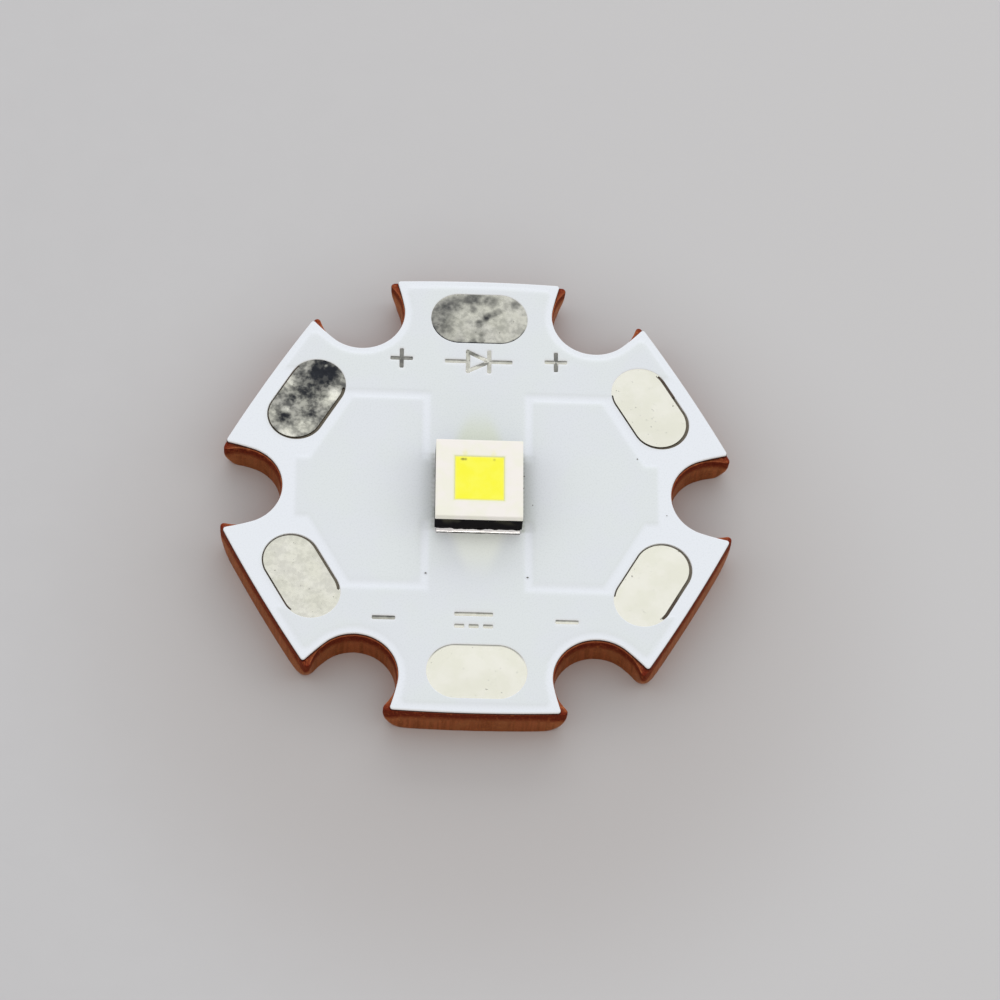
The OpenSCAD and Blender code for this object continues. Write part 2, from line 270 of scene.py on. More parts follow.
def foil_depth(p):
    """Depth in the circuit foil. The lower half mirrors the upper one."""
    q = p.real + 1j * abs(p.imag)
    depth = np.minimum(star_depth(q, edge_clearance, foil_tip), q.imag - foil_line)
    outer = ((abs(q.real) + 1j * q.imag) * edge_way.conjugate()).real - pad_radius
    depth = np.minimum(depth, np.maximum(q.imag - foil_line - shoulder_rise, -outer))
    for angle in pad_angles[:3]:
        depth = np.maximum(depth, pad_depth(q, angle, -pad_gap))
    tongue = np.minimum(tongue_half - abs(q.real), q.imag - tongue_start)
    return np.maximum(depth, np.minimum(tongue, foil_line + tongue_overlap - q.imag))


def island_depth(p):
    """Depth in the two heat islands and in the neck that joins them under the LED."""
    q = abs(p.real) + 1j * abs(p.imag)
    reach = np.minimum(q.real - island_inner, island_outer - q.real)
    bevel = island_side - (q * edge_way.conjugate()).real
    body = np.minimum(np.minimum(reach, island_half - q.imag), bevel)
    body = np.maximum(body, np.minimum(reach, island_end - q.imag))
    return np.maximum(body, np.minimum(island_inner + neck_overlap - q.real, neck_half - q.imag))


print("edge of the foil", round(foil_line / mm, 2), "mm from the middle of the board")

# %% [markdown]
# Small builders used by all pieces. A flat sheet with holes is cut by Blender's own constrained Delaunay
# triangulation, which keeps every outline edge and fills the rest with even triangles. It gets a top, a
# bottom and walls, so it is a closed solid.

# %% Mesh builders
hex_row = 0.866
merge_within = 1e-6
crease = math.radians(40)


def placed(name, data):
    """An object in the scene that shows a mesh, a light or a camera."""
    made = bpy.data.objects.new(name, data)
    bpy.context.scene.collection.objects.link(made)
    return made


def at_height(loop, z):
    """Flat complex points as rows of x, y and z. The height is one number, or one for each point."""
    return np.column_stack([loop.real, loop.imag, np.broadcast_to(z, loop.shape)])


def turned_outward(mesh, weld=0.0):
    """Joins points closer than weld and turns all faces outwards."""
    shell = bmesh.new()
    shell.from_mesh(mesh)
    if weld:
        bmesh.ops.remove_doubles(shell, verts=shell.verts, dist=weld)
    bmesh.ops.recalc_face_normals(shell, faces=shell.faces)
    shell.to_mesh(mesh)
    shell.free()


def piece_from(name, points, faces):
    mesh = bpy.data.meshes.new(name)
    mesh.from_pydata(points.tolist(), [], faces)
    turned_outward(mesh)
    mesh.shade_smooth()
    mesh.set_sharp_from_angle(angle=crease)
    return placed(name, mesh)


def note(piece, label, values):
    """Stores one number per point for the material, such as how deep a groove is there."""
    attribute = piece.data.attributes.new(label, "FLOAT", "POINT")
    attribute.data.foreach_set("value", np.asarray(values, np.float32))


def flat_places(piece):
    """The points of a piece as complex numbers, seen from above."""
    return np.array([complex(v.co.x, v.co.y) for v in piece.data.vertices])


def hex_grid(half_x, half_y, spacing, middle=0j):
    """Evenly spread points, every second row shifted by half a step."""
    rows = np.arange(-half_y, half_y, spacing * hex_row)
    columns = np.arange(-half_x, half_x, spacing)
    x, y = np.meshgrid(columns, rows)
    x = x + (np.arange(len(rows)) % 2)[:, None] * spacing / 2
    return (x + 1j * y).ravel() + middle


def cut_sheet(loops, grid, depth):
    """Triangles between the loops, and the edges of the sheet as ordered pairs."""
    flat = np.concatenate(loops + [grid]) / mm
    edges = []
    first = 0
    for loop in loops:
        edges += [(first + i, first + (i + 1) % len(loop)) for i in range(len(loop))]
        first += len(loop)
    corners = [Vector((p.real, p.imag)) for p in flat]
    made = geometry.delaunay_2d_cdt(corners, edges, [], 0, merge_within)
    points = np.array([v.x + 1j * v.y for v in made[0]]) * mm
    triangles = np.array(made[2])
    triangles = triangles[depth(points[triangles].mean(axis=1)) > 0]
    pairs = np.concatenate([triangles[:, [0, 1]], triangles[:, [1, 2]], triangles[:, [2, 0]]])
    known = set(map(tuple, pairs.tolist()))
    rim = [(a, b) for a, b in known if (b, a) not in known]
    used = np.unique(triangles)
    place = np.full(len(points), -1)
    place[used] = np.arange(len(used))
    rim = sorted((int(place[a]), int(place[b])) for a, b in rim)
    return points[used], place[triangles], rim


def thick_sheet(name, points, triangles, rim, top, bottom):
    """A closed sheet. Top and bottom are heights, one number or one for each point."""
    count = len(points)
    faces = triangles.tolist()
    faces += (triangles[:, ::-1] + count).tolist()
    faces += [(b, a, a + count, b + count) for a, b in rim]
    return piece_from(name, np.concatenate([at_height(points, top), at_height(points, bottom)]), faces)


def lofted(name, rings, closed_ends=True):
    """Joins rings of equally many points, from the first to the last, and closes both ends."""
    count = len(rings[0])
    points = np.concatenate(rings)
    faces = []
    for a in range(0, len(points) - count, count):
        turn = [(i, (i + 1) % count) for i in range(count)]
        faces += [(a + i, a + j, a + count + j, a + count + i) for i, j in turn]
    if closed_ends:
        faces.append(tuple(range(count)))
        faces.append(tuple(range(len(points) - count, len(points))))
    return piece_from(name, points, faces)


print("mesh builders ready")

# %% [markdown]
# A material is a small graph of nodes. `wire` adds one node and fills its sockets with numbers or with
# the outputs of earlier nodes, so a finish reads as a list of layers. Patterns use Object coordinates:
# all pieces sit at the origin, so a millimetre is the same everywhere. The same helper builds the
# Geometry Nodes trees.

# %% Node helpers
def wire(tree, kind, inputs=None, **settings):
    made = tree.nodes.new(kind)
    for label, value in settings.items():
        setattr(made, label, value)
    for label, value in (inputs or {}).items():
        if isinstance(value, bpy.types.NodeSocket):
            tree.links.new(value, made.inputs[label])
        else:
            made.inputs[label].default_value = value
    return made


def srgb(red, green, blue):
    """A colour as seen on screen, from 0 to 255, turned into the linear light that shaders use."""
    share = np.array([red, green, blue]) / 255
    linear = np.where(share <= 0.04045, share / 12.92, ((share + 0.055) / 1.055) ** 2.4)
    return (*linear.tolist(), 1.0)


def new_finish(name, constants):
    finish = bpy.data.materials.new(name)
    finish.use_nodes = True
    shader = finish.node_tree.nodes["Principled BSDF"]
    for label, value in constants.items():
        shader.inputs[label].default_value = value
    return finish, finish.node_tree, shader


def object_place(tree, stretch=(1, 1, 1)):
    source = wire(tree, "ShaderNodeTexCoord").outputs["Object"]
    return wire(tree, "ShaderNodeMapping", {"Vector": source, "Scale": stretch}).outputs["Vector"]


def cloud(tree, place, size, detail=3.0, roughness=0.55):
    """Soft noise whose lumps are about size across."""
    inputs = {"Vector": place, "Scale": 1 / size, "Detail": detail, "Roughness": roughness}
    return wire(tree, "ShaderNodeTexNoise", inputs).outputs["Fac"]


def spread(tree, value, low, high, to_low=0.0, to_high=1.0):
    """Stretches a range of values, softly, over another one."""
    inputs = {"Value": value, "From Min": low, "From Max": high, "To Min": to_low, "To Max": to_high}
    return wire(tree, "ShaderNodeMapRange", inputs, interpolation_type="SMOOTHSTEP").outputs["Result"]


def mixed(tree, share, first, second):
    node = wire(tree, "ShaderNodeMix", {0: share, 6: first, 7: second}, data_type="RGBA")
    return node.outputs[2]


def maths(tree, work, first, second, third=0.0):
    return wire(tree, "ShaderNodeMath", {0: first, 1: second, 2: third}, operation=work).outputs[0]


def vectors(tree, work, first, second):
    """Maths with vectors. To scale one takes a number as the second value."""
    place = "Scale" if work == "SCALE" else 1
    node = wire(tree, "ShaderNodeVectorMath", {0: first, place: second}, operation=work)
    return node.outputs["Value" if work == "DISTANCE" else "Vector"]


def noted(tree, label):
    """The number that `note` stored under a label, as a material reads it."""
    return wire(tree, "ShaderNodeAttribute", attribute_name=label).outputs["Fac"]


def uneven_gloss(tree, shader, pattern, low, high):
    """Roughness that wanders between two values with a pattern."""
    tree.links.new(spread(tree, pattern, 0.3, 0.7, low, high), shader.inputs["Roughness"])


def relief(tree, shader, height, depth, strength=1.0):
    inputs = {"Height": height, "Distance": depth, "Strength": strength}
    bump = wire(tree, "ShaderNodeBump", inputs)
    tree.links.new(bump.outputs["Normal"], shader.inputs["Normal"])


print("node helpers ready")

# %% [markdown]
# Geometry Nodes trees are built the same way. Every tree gets named inputs, and `grown` sets them by
# their identifiers before the object is evaluated, turns the result into a plain mesh and drops the
# modifier, so nothing live is left on a finished piece.

# %% Geometry Nodes helpers
def new_tree(name, inputs):
    tree = bpy.data.node_groups.new(name, "GeometryNodeTree")
    tree.interface.new_socket("Geometry", in_out="INPUT", socket_type="NodeSocketGeometry")
    for label, kind in inputs.items():
        tree.interface.new_socket(label, in_out="INPUT", socket_type="NodeSocket" + kind)
    tree.interface.new_socket("Geometry", in_out="OUTPUT", socket_type="NodeSocketGeometry")
    return tree, tree.nodes.new("NodeGroupInput").outputs


def end_tree(tree, shape, finish):
    """Ends a tree in Realize Instances and Set Material."""
    solid = wire(tree, "GeometryNodeRealizeInstances", {"Geometry": shape}).outputs["Geometry"]
    solid = wire(tree, "GeometryNodeSetMaterial", {"Geometry": solid, "Material": finish}).outputs["Geometry"]
    tree.links.new(solid, tree.nodes.new("NodeGroupOutput").inputs["Geometry"])


def noted_point(tree, label):
    """The number that `note` stored under a label, as a tree reads it."""
    node = wire(tree, "GeometryNodeInputNamedAttribute", {"Name": label}, data_type="FLOAT")
    return node.outputs["Attribute"]


def seeded_cloud(tree, place, scale, seed, detail):
    inputs = {"Vector": place, "W": seed, "Scale": scale, "Detail": detail}
    return wire(tree, "ShaderNodeTexNoise", inputs, noise_dimensions="4D").outputs["Fac"]


def moved(tree, shape, offset):
    return wire(tree, "GeometryNodeSetPosition", {"Geometry": shape, "Offset": offset}).outputs[0]


def grown(piece, tree, values):
    modifier = piece.modifiers.new(tree.name, "NODES")
    modifier.node_group = tree
    for socket in tree.interface.items_tree:
        if socket.in_out == "INPUT" and socket.name in values:
            modifier[socket.identifier] = values[socket.name]
    seen = piece.evaluated_get(bpy.context.evaluated_depsgraph_get())
    mesh = bpy.data.meshes.new_from_object(seen)
    piece.modifiers.remove(modifier)
    piece.data = mesh
    mesh.shade_smooth()
    mesh.set_sharp_from_angle(angle=crease)
    return piece


def done(piece, slot, *stands_for):
    """Every finished piece rides on the one body and hides the nodes that it stands for. The slot is not
    used.
    """
    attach(piece, "root")
    if stands_for:
        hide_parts(*stands_for)
    print(piece.name, "has", sum(len(face.vertices) - 2 for face in piece.data.polygons), "triangles")


print("tree helpers ready")

# %% [markdown]
# Bare copper shows only on the punched wall, at the lug tips and underneath. A punch leaves two zones on
# a wall: a burnished one with upright streaks, and above it a darker, torn one. That dark upper band is
# partly the real torn zone and partly painted shade under the rim of the mask. A point attribute, stored
# on the mesh, tells the finish where the upper zone is. Streaks are noise squeezed in Z.

# %% Copper finishes
def copper_finish():
    constants = {"Metallic": 1.0, "Specular Tint": (1, 0.75, 0.6, 1)}
    finish, tree, shader = new_finish("punched_copper", constants)
    place = object_place(tree)
    streaks = cloud(tree, object_place(tree, (1, 1, 0.06)), 0.16 * mm, 4.0, 0.6)
    blotches = cloud(tree, place, 0.7 * mm, 3.0)
    mottle = cloud(tree, place, 0.16 * mm, 3.0, 0.65)
    grain = cloud(tree, place, 0.05 * mm, 3.0, 0.7)
    share = spread(tree, streaks, 0.36, 0.64)
    burnished = mixed(tree, share, (0.33, 0.105, 0.038, 1), (0.50, 0.165, 0.070, 1))
    burnished = mixed(tree, spread(tree, blotches, 0.45, 0.72), burnished, (0.46, 0.175, 0.072, 1))
    burnished = mixed(tree, spread(tree, mottle, 0.5, 0.7, 0.0, 0.5), burnished, (0.62, 0.25, 0.09, 1))
    # The dark upper colour is partly the torn zone and partly painted shade under the mask's rim.
    torn_and_shade = mixed(tree, spread(tree, grain, 0.35, 0.7), (0.12, 0.016, 0.010, 1), (0.27, 0.045, 0.020, 1))
    torn_and_shade = mixed(tree, spread(tree, mottle, 0.52, 0.72, 0.0, 0.5), torn_and_shade, (0.50, 0.16, 0.055, 1))
    rough_edge = maths(tree, "MULTIPLY_ADD", streaks, 0.5, -0.25)
    torn_and_shade_share = spread(tree, maths(tree, "ADD", noted(tree, "torn_and_shade"), rough_edge), 0.1, 0.95)
    tree.links.new(mixed(tree, torn_and_shade_share, burnished, torn_and_shade), shader.inputs["Base Color"])
    tree.links.new(spread(tree, torn_and_shade_share, 0, 1, 0.36, 0.6), shader.inputs["Roughness"])
    relief(tree, shader, maths(tree, "ADD", streaks, grain), 0.02 * mm, 0.6)
    return finish


def foil_finish():
    finish, tree, shader = new_finish("etched_foil", {"Metallic": 1.0})
    place = object_place(tree)
    colour = mixed(tree, cloud(tree, place, 0.3 * mm), (0.06, 0.045, 0.035, 1), (0.12, 0.095, 0.075, 1))
    tree.links.new(colour, shader.inputs["Base Color"])
    uneven_gloss(tree, shader, cloud(tree, place, 0.1 * mm), 0.35, 0.6)
    return finish


punched_copper = copper_finish()
etched_foil = foil_finish()
print("copper finishes mixed")

# %% [markdown]
# The plate is the main piece and follows a rule: one lug, six times. One sixth of it is lofted from
# outlines at several heights. The die rolled the lower edge over and drew the lug tips in, and handling
# wore the lower corners round, so the ears are longest at the top. The outer corners are as dark as the
# torn zone, so they get a share of it.

# %% One lug of the plate
tip_blunt = 0.18 * mm
tip_short = 0.01 * mm
tip_reach = abs(tip_of(0) - 1j * edge_way * tip_blunt) - tip_short
tip_draw_depth = 0.27 * mm
tip_draw_height = 1.1 * mm
tip_soft = 0.03 * mm
tip_round = 0.14 * mm
tip_wear = 0.3 * mm
ear_loss = 0.5
roll_height = 0.08 * mm
roll_depth = 0.015 * mm
lip = 0.08 * mm
lip_depth = 0.6 * lip
burnish_top = 1.08 * mm
top_torn = 0.75
wall_spacing = 0.06 * mm
inner_inset = 0.3 * mm
upper_drops = [0, 0.008, 0.025, 0.05, 0.08, 0.13, 0.2, 0.28, 0.36, 0.44, 0.52]


def tip_limit(z):
    """The radius that a lug tip reaches at a height. The punch drew it in towards the underside."""
    bow = (tip_draw_height ** 2 + tip_draw_depth ** 2) / (2 * tip_draw_depth)
    below = max(tip_draw_height - z, 0)
    return tip_reach - bow + math.sqrt(bow ** 2 - below ** 2)


def held_in(loop, limit):
    """Draws points beyond a radius softly back to it."""
    over = tip_soft * np.logaddexp(0, (abs(loop) - limit) / tip_soft)
    return loop * (1 - over / abs(loop))


def wall_inset(z):
    roll = max(roll_height - z, 0) / roll_height
    break_lip = max(z - core_top + lip, 0) / lip
    return roll_depth * (1 - math.sqrt(1 - roll ** 2)) + lip_depth * (1 - math.sqrt(1 - break_lip ** 2))


def lug_at(z):
    """Outline of a lug at a height. Lower down its ears are shorter and its corners are worn round."""
    below = max(1 - z / core_top, 0)
    ear = tip_spread * (1 - ear_loss * below ** 2)
    loop = whole_lug(wall_inset(z), ear, tip_round + tip_wear * below ** 3, wall_spacing)
    return held_in(loop, tip_limit(z))


def wall_heights():
    """From the upper edge of the wall to the lower one, closest together where the wall curves."""
    heights = [*(core_top - np.array(upper_drops) * mm), *np.linspace(0.8 * mm, roll_height, 9)]
    heights += [roll_height * (1 - math.sin(turn)) for turn in np.linspace(0.15, math.pi / 2, 6)]
    return np.maximum(heights, core_low)


def lug_sector():
    heights = wall_heights()
    rings = [at_height(lug_at(z), z) for z in heights]
    # Share of the dark upper band: the torn zone plus painted shade under the mask's rim.
    torn_and_shade = smooth(burnish_top - 0.45 * mm, burnish_top + 0.25 * mm, heights)
    torn_and_shade = torn_and_shade * (1 - 0.5 * smooth(core_top - 0.2 * lip, core_top, heights))
    inner = whole_lug(inner_inset, 0, inner_inset, wall_spacing)
    for share in (1.0, 0.8, 0.5, 0.2):
        rings = [at_height(inner * share, core_top), *rings, at_height(inner * share, core_low)]
        torn_and_shade = [top_torn, *torn_and_shade, 0.0]
    count = len(inner)
    points = np.concatenate([*rings, [[0, 0, core_top], [0, 0, core_low]]])
    last = (len(rings) - 1) * count
    top_hub = last + count
    faces = []
    for a in range(0, last, count):
        faces += [(a + i, a + count + i, a + count + i + 1, a + i + 1) for i in range(count - 1)]
    faces += [(top_hub, i, i + 1) for i in range(count - 1)]
    faces += [(top_hub + 1, last + i + 1, last + i) for i in range(count - 1)]
    sector = piece_from("star_plate", points, faces)
    corner = smooth(tip_reach - 0.4 * mm, tip_reach - 0.05 * mm, np.hypot(points[:, 0], points[:, 1]))
    corner = 0.5 * corner * smooth(0.5 * mm, 0.95 * mm, points[:, 2])
    note(sector, "torn_and_shade", np.append(np.repeat(torn_and_shade, count), [0, 0]) + corner)
    return sector


sector = lug_sector()
print("one lug has", len(sector.data.vertices), "points")

# %% [markdown]
# A Geometry Nodes tree turns six copies of the lug about the middle, welds the seams and roughens the
# torn zone, always inwards, so the plate keeps its size.

# %% Tree for six lugs
weld_within = 0.001 * mm
tear_size = 0.2 * mm
tear_stretch = (1, 1, 0.35)


def six_lugs_tree():
    inputs = {"Lugs": "Int", "Torn Depth": "Float", "Seed": "Float", "Finish": "Material"}
    tree, given = new_tree("six_lugs", inputs)
    count = wire(tree, "GeometryNodePoints", {"Count": given["Lugs"]})
    turn = maths(tree, "DIVIDE", 2 * math.pi, given["Lugs"])
    turn = maths(tree, "MULTIPLY", wire(tree, "GeometryNodeInputIndex").outputs[0], turn)
    euler = wire(tree, "ShaderNodeCombineXYZ", {"Z": turn}).outputs[0]
    rotation = wire(tree, "FunctionNodeEulerToRotation", {"Euler": euler}).outputs[0]
    inputs = {"Points": count.outputs[0], "Instance": given["Geometry"], "Rotation": rotation}
    lugs = wire(tree, "GeometryNodeInstanceOnPoints", inputs).outputs[0]
    lugs = wire(tree, "GeometryNodeRealizeInstances", {"Geometry": lugs}).outputs[0]
    star = wire(tree, "GeometryNodeMergeByDistance", {"Geometry": lugs, "Distance": weld_within}).outputs[0]
    place = vectors(tree, "MULTIPLY", wire(tree, "GeometryNodeInputPosition").outputs[0], tear_stretch)
    tear = seeded_cloud(tree, place, 1 / tear_size, given["Seed"], 3.0)
    tear = maths(tree, "MULTIPLY", tear, noted_point(tree, "torn_and_shade"))
    depth = maths(tree, "MULTIPLY", tear, given["Torn Depth"])
    back = vectors(tree, "SCALE", wire(tree, "GeometryNodeInputNormal").outputs[0], depth)
    back = vectors(tree, "MULTIPLY", back, (-1, -1, 0))
    end_tree(tree, moved(tree, star, back), given["Finish"])
    return tree


plate = grown(sector, six_lugs_tree(), {"Lugs": lug_count, "Torn Depth": 0.05 * mm, "Seed": 3.0,
                                        "Finish": punched_copper})
print("the star has", len(plate.data.vertices), "points")

# %% [markdown]
# Where the LED's heat pad sits, the real plate stands up through the insulation. That bow-tie step is
# hidden under the mask, but it belongs to the plate, so it is added as an extruded outline.

# %% The plate
def pedestal_points():
    slope = edge_way.imag / edge_way.real
    corner = (island_side / edge_way.real - island_outer) / slope
    half = [complex(island_inner, neck_half), complex(island_inner, island_half)]
    half += [complex(island_side / edge_way.real - island_half * slope, island_half)]
    half += [complex(island_outer, max(corner, island_end))]
    right = half + [p.conjugate() for p in reversed(half)]
    return np.array(right + [-p for p in right])


step = pedestal_points()
pedestal = lofted("pedestal", [at_height(step, z) for z in (core_top, foil_top)])
note(pedestal, "torn_and_shade", np.zeros(len(pedestal.data.vertices)))
pedestal.data.materials.append(punched_copper)
with bpy.context.temp_override(active_object=plate, selected_editable_objects=[plate, pedestal]):
    bpy.ops.object.join()
done(plate, "copper", "copper_core")

# %% [markdown]
# The mask is glossy white lacquer. It sags a little where no copper lies under it, so the circuit prints
# through as faint steps, and it is slightly bluer there. Around the LED, soldering has stained it, and
# painted light and shade lie there too: painted fill light in front of the LED and painted shade beside
# it. The share of each layer is stored on the mesh as an attribute, and the layers are mixed here one
# by one.

# %% Mask finish
def mask_finish():
    finish, tree, shader = new_finish("white_mask", {"Specular IOR Level": 0.4})
    place = object_place(tree)
    drift = cloud(tree, place, 2.2 * mm, 2.0)
    colour = mixed(tree, spread(tree, drift, 0.35, 0.65), srgb(222, 227, 232), srgb(222, 228, 230))
    colour = mixed(tree, maths(tree, "MULTIPLY", noted(tree, "groove"), 0.85), colour, srgb(232, 237, 244))
    colour = mixed(tree, noted(tree, "edge"), colour, srgb(230, 230, 231))
    colour = mixed(tree, noted(tree, "flux"), colour, srgb(215, 222, 200))
    # Painted fill light in front of the LED, partly a real pale film, then painted shade of the LED beside
    # it.
    colour = mixed(tree, noted(tree, "film_and_fill_light"), colour, srgb(241, 246, 238))
    colour = mixed(tree, noted(tree, "painted_led_shade"), colour, srgb(158, 164, 150))
    grain = cloud(tree, place, 0.07 * mm, 2.0)
    tree.links.new(colour, shader.inputs["Base Color"])
    uneven_gloss(tree, shader, grain, 0.24, 0.36)
    relief(tree, shader, maths(tree, "ADD", grain, drift), 0.004 * mm, 0.5)
    return finish


white_mask = mask_finish()
print("mask finish mixed")

# %% [markdown]
# Polarity signs are plain strokes left open in the mask. Two plus signs mark the upper lugs and two
# minus signs the lower ones. Between them stand a diode symbol and the sign for direct current. A
# stroke is one bar with a middle, a length and a turn.

# %% Signs on the mask
stroke_width = 0.16 * mm
sign_long = 0.9 * mm
upper_sign_y = 6.02 * mm
lower_sign_y = -5.73 * mm


def bar(x, y, length, turn=0.0):
    return complex(x, y), length, turn


def plus_sign(x, y):
    return [bar(x, y, sign_long), bar(x, y, sign_long, math.pi / 2)]


def between(start, end):
    """A stroke from one point to another."""
    return (start + end) / 2, abs(end - start) + stroke_width, cmath.phase(end - start)


def diode_symbol(x, y):
    size = 0.45 * mm
    lead = 0.85 * mm
    middle = complex(x, y)
    upper, lower, nose = middle + size * (-1 + 1j), middle + size * (-1 - 1j), middle + size * 0.9
    made = [between(upper, lower), between(upper, nose), between(lower, nose)]
    made += [between(nose + 1j * size, nose - 1j * size)]
    made += [between(middle - size, middle - size - lead), between(nose, nose + lead)]
    return made


def direct_current_symbol(x, y):
    width = 1.5 * mm
    dash = 0.38 * mm
    rise = 0.26 * mm
    dashes = [bar(x + side * (width - dash) / 2, y - rise, dash) for side in (-1, 0, 1)]
    return [bar(x, y + rise, width)] + dashes


strokes = plus_sign(-3.09 * mm, upper_sign_y) + plus_sign(3.14 * mm, upper_sign_y)
strokes += [bar(-3.61 * mm, lower_sign_y, sign_long), bar(3.54 * mm, lower_sign_y, sign_long)]
strokes += diode_symbol(0.04 * mm, 5.95 * mm) + direct_current_symbol(-0.1 * mm, -5.75 * mm)
print(len(strokes), "strokes")

# %% [markdown]
# The mask sheet stays a hair inside the copper, and the pads, the signs and the LED's terminals are left
# open. Closely spaced loops along every edge make room for a soft rim.

# %% Outlines of the mask
mask_setback = 0.04 * mm
mask_tip = 0.1 * mm
mask_shift = 0.035 * mm
mask_widen = 0.04 * mm
mask_spread = 0.06 * mm
outline_shift = 0.02j * mm
stroke_round = 0.04 * mm
window_round = 0.01 * mm
rim_steps = [0, 0.012 * mm, 0.028 * mm, 0.055 * mm]
star_spacing, pad_spacing, stroke_spacing, window_spacing = 0.1 * mm, 0.08 * mm, 0.06 * mm, 0.1 * mm
solder_reach = 0.12 * mm
led_low, led_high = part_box("led_ceramic")
led_middle = complex(led_low.x + led_high.x, led_low.y + led_high.y) / 2
ceramic_half = (led_high.x - led_low.x) / 2
windows = []
for name, side in (("anode_solder", 1), ("cathode_solder", -1), ("thermal_solder", 0)):
    low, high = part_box(name)
    ends = [low.y, high.y]
    if side:
        ends[side > 0] = led_middle.imag + side * (ceramic_half + solder_reach)
    windows.append((complex(low.x + high.x, sum(ends)) / 2, high.x - low.x, ends[1] - ends[0]))


def opening_depth(p):
    depth = np.full(p.shape, -np.inf)
    for angle in pad_angles:
        depth = np.maximum(depth, pad_depth(p - mask_shift, angle))
    for middle, length, turn in strokes:
        depth = np.maximum(depth, bar_depth(p, middle, length, stroke_width, turn, stroke_round))
    for middle, width, height in windows:
        depth = np.maximum(depth, bar_depth(p, middle, width, height))
    return depth


def mask_depth(p):
    outline = star_depth(p - outline_shift, mask_setback, mask_tip, mask_widen, mask_spread)
    return np.minimum(outline, -opening_depth(p))


def mask_outline(setback, tip):
    return star_loop(setback, tip, star_spacing, mask_widen, mask_spread) + outline_shift


def bar_loop(middle, length, width, turn, grow, round_end, spacing):
    """Outline of a bar with rounded corners, grown on all sides."""
    x, y = length / 2 - round_end, width / 2 - round_end
    corners = [complex(x, y), complex(-x, y), complex(-x, -y), complex(x, -y)]
    loop = []
    for quarter, corner in enumerate(corners):
        sweep = np.linspace(quarter, quarter + 1, 4) * math.pi / 2
        arc = corner + (round_end + grow) * np.exp(1j * sweep)
        ahead = corners[(quarter + 1) % 4] + (round_end + grow) * cmath.exp(1j * sweep[-1])
        run = np.linspace(arc[-1], ahead, max(2, round(abs(ahead - arc[-1]) / spacing)))
        loop.append(np.concatenate([arc, run[1:-1]]))
    return np.concatenate(loop) * cmath.exp(1j * turn) + middle


def mask_loops():
    loops = [mask_outline(mask_setback + step, mask_tip - step) for step in rim_steps]
    for step in rim_steps:
        loops += [obround_loop(angle, step, pad_spacing) + mask_shift for angle in pad_angles]
    for step in rim_steps[:3]:
        for middle, length, turn in strokes:
            loops.append(bar_loop(middle, length, stroke_width, turn, step, stroke_round, stroke_spacing))
    for step in rim_steps[:2]:
        for middle, width, height in windows:
            loops.append(bar_loop(middle, width, height, 0, step, window_round, window_spacing))
    return loops


print("the mask is cut along", len(mask_loops()), "loops")

# %% [markdown]
# The height of the mask follows the copper below: it sinks into a groove where there is none, and falls
# off at every rim. Soldering left a yellow-green film behind the LED and a pale one in front of it. The
# pale one is painted lighter than the mask, as painted fill light against the LED's shadow. Beside the LED
# lies painted shade: a soft grey band and a darker contact line along its sides. Each of these is a soft
# share, stored on the mesh.

# %% The mask
mask_rim = 0.04 * mm
groove_depth = 0.04 * mm
mask_grid = 0.125 * mm
mask_least = 0.006 * mm
wave_height = 0.0015 * mm
wave_x, wave_y = 0.9 * mm, 1.1 * mm


def stains_and_painted_light(points):
    """Shares of stains, painted fill light and painted shade, by distance from the LED's sides and ends."""
    spot = points - led_middle
    from_side = abs(spot.real) - ceramic_half
    from_end = abs(spot.imag) - ceramic_half
    beside = np.minimum(0.1 * mm - from_end, from_side + 0.1 * mm)
    # Painted shade of the LED beside it: a soft band, stronger on the left, and a darker painted contact
    # shadow.
    wide = np.where(spot.real < 0, 0.2, 0.32) * (1 - smooth(0.05 * mm, 0.75 * mm, from_side))
    narrow = 0.5 * (1 - smooth(0.02 * mm, 0.12 * mm, from_side))
    painted_led_shade = wide * smooth(0, 0.15 * mm, beside) + narrow * smooth(0, 0.1 * mm, beside)
    flank = 1.15 * mm - 0.35 * from_end - abs(spot.real)
    film = 0.5 * smooth(-0.25 * mm, 0.35 * mm, flank) * (1 - smooth(0.8 * mm, 2.3 * mm, from_end))
    film = film * (from_end > -0.2 * mm)
    # Behind the LED the film is a flux stain. In front it is painted lighter than the mask, as painted fill
    # light.
    return {"painted_led_shade": painted_led_shade, "flux": 1.3 * film * (spot.imag > 0), "film_and_fill_light": 1.5 * film * (spot.imag < 0)}


def build_mask():
    grid = hex_grid(cad_high.x, cad_high.y, mask_grid)
    grid = grid[mask_depth(grid) > 0.09 * mm]
    points, triangles, rim = cut_sheet(mask_loops(), grid, mask_depth)
    bare = -np.maximum(foil_depth(points), island_depth(points))
    groove = smooth(0.02 * mm, 0.17 * mm, bare)
    rim_share = 1 - np.clip(mask_depth(points) / mask_rim, 0, 1)
    drop = mask_rim * (1 - np.sqrt(1 - rim_share ** 2))
    wave = wave_height * np.sin(points.real / wave_x) * np.sin(points.imag / wave_y)
    top = mask_top - 0.002 * mm - groove_depth * groove - drop * 0.95 + wave
    bottom = insulation_top + (foil_top - insulation_top) * (1 - smooth(0, 0.1 * mm, bare))
    mask = thick_sheet("mask_skin", points, triangles, rim, top, np.minimum(bottom, top - mask_least))
    shares = {"groove": groove, "edge": 0.8 * rim_share, **stains_and_painted_light(points)}
    for label, share in shares.items():
        note(mask, label, np.tile(share, 2))
    mask.data.materials.append(white_mask)
    return mask


done(build_mask(), "white_mask", "solder_mask")
